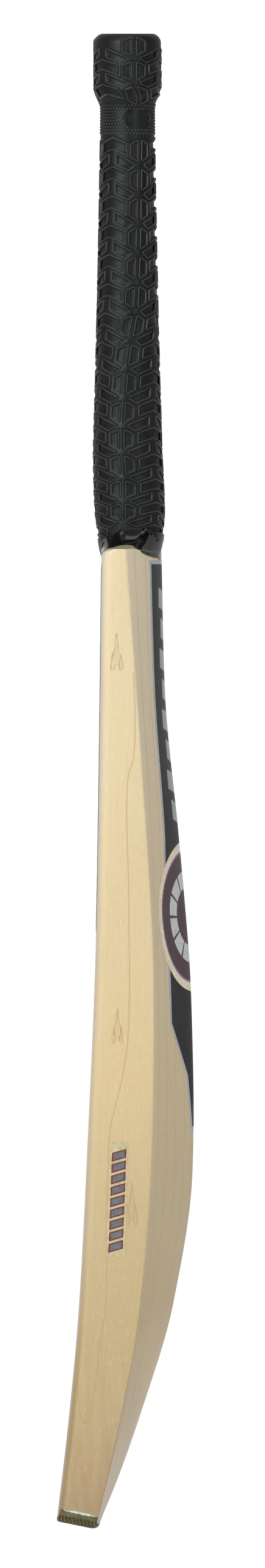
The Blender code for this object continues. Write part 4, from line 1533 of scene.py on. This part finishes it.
def make_camera():
    azimuth, distance, height, aim_y = math.radians(91.0), 12.0, 0.4235, 0.0028
    frame_height = 0.891
    data = bpy.data.cameras.new("camera")
    data.type = "ORTHO"
    data.ortho_scale = frame_height
    camera = put_in_scene("camera", data)
    away = Vector((math.sin(azimuth), -math.cos(azimuth), 0.0))
    camera.location = Vector((0.0, aim_y, height)) + away * distance
    camera.rotation_euler = away.to_track_quat("Z", "Y").to_euler()
    bpy.context.scene.camera = camera


def use_look(node, look):
    """Give a kept CAD node its finished material."""
    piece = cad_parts[node]
    piece.data.materials.clear()
    piece.data.materials.append(look)


def main():
    blade = make_blade(willow_look())
    guard_rubber = guard_look()
    make_toe_guard(guard_rubber)
    make_glue_beads(glue_look())
    # One rubber in two copies: the copy for the tile lips and nubs is painted several times lighter and
    # shinier than the sleeve's, as painted highlight on the raised parts.
    sleeve_rubber = grip_look("grip_rubber", (0.0018, 0.0020, 0.0018), (0.0065, 0.0072, 0.0065), 0.36)
    lit_lip_rubber = grip_look("grip_lip_rubber", (0.0100, 0.0108, 0.0100), (0.0250, 0.0265, 0.0245), 0.60)
    make_grip(sleeve_rubber, lit_lip_rubber)
    make_tape(tape_look(), blade)

    black = film_look("label_black", (0.022, 0.022, 0.023), 0.45, fade=(0.26, 0.46, (0.005, 0.005, 0.006)))
    black.node_tree.nodes["Principled BSDF"].inputs["Specular Tint"].default_value = (0.3, 0.3, 0.31, 1.0)
    silver = film_look("label_silver", (0.42, 0.46, 0.52), 0.35, 0.3)
    bars = film_look("label_bars", (0.36, 0.37, 0.38), 0.35, 0.3)
    copper = film_look("label_copper", (0.20, 0.09, 0.045), 0.35)
    make_back_label(black, silver, bars)
    make_back_tail(black, silver, copper)
    make_face_label(black, silver, bars)
    cream = film_look("emblem_cream", (0.74, 0.66, 0.47), 0.35)
    maroon = film_look("emblem_maroon", (0.050, 0.020, 0.022), 0.40)
    violet = film_look("emblem_violet", (0.26, 0.12, 0.30), 0.25, 0.3)
    pale = film_look("emblem_pale", (0.55, 0.57, 0.58), 0.35, 0.1)
    make_emblem(cream, maroon, pale, violet)
    film = film_look("edge_film", (0.47, 0.41, 0.235), 0.30)
    red = film_look("edge_red", (0.16, 0.026, 0.022), 0.30)
    grey = film_look("edge_grey", (0.12, 0.13, 0.15), 0.30)
    make_edge_label(film, red, grey)

    cane, inserts, twine = cane_look(), insert_look(), twine_look()
    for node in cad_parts:
        if node.startswith("cane_"):
            use_look(node, cane)
        elif node.startswith("insert_"):
            use_look(node, inserts)
    use_look("twine_binding", twine)

    make_floor()
    make_world()
    make_light("key", 66, 26, 2.2, 0.5, 1.5, 25)
    make_light("fill", 122, 16, 2.6, 0.5, 1.5, 8)
    make_light("top", 90, 75, 2.4, 1.2, 1.2, 8)
    make_light("strip", 46, 4, 2.2, 0.10, 1.5, 5)
    make_camera()
    bpy.context.scene.view_settings.view_transform = "Standard"


main()
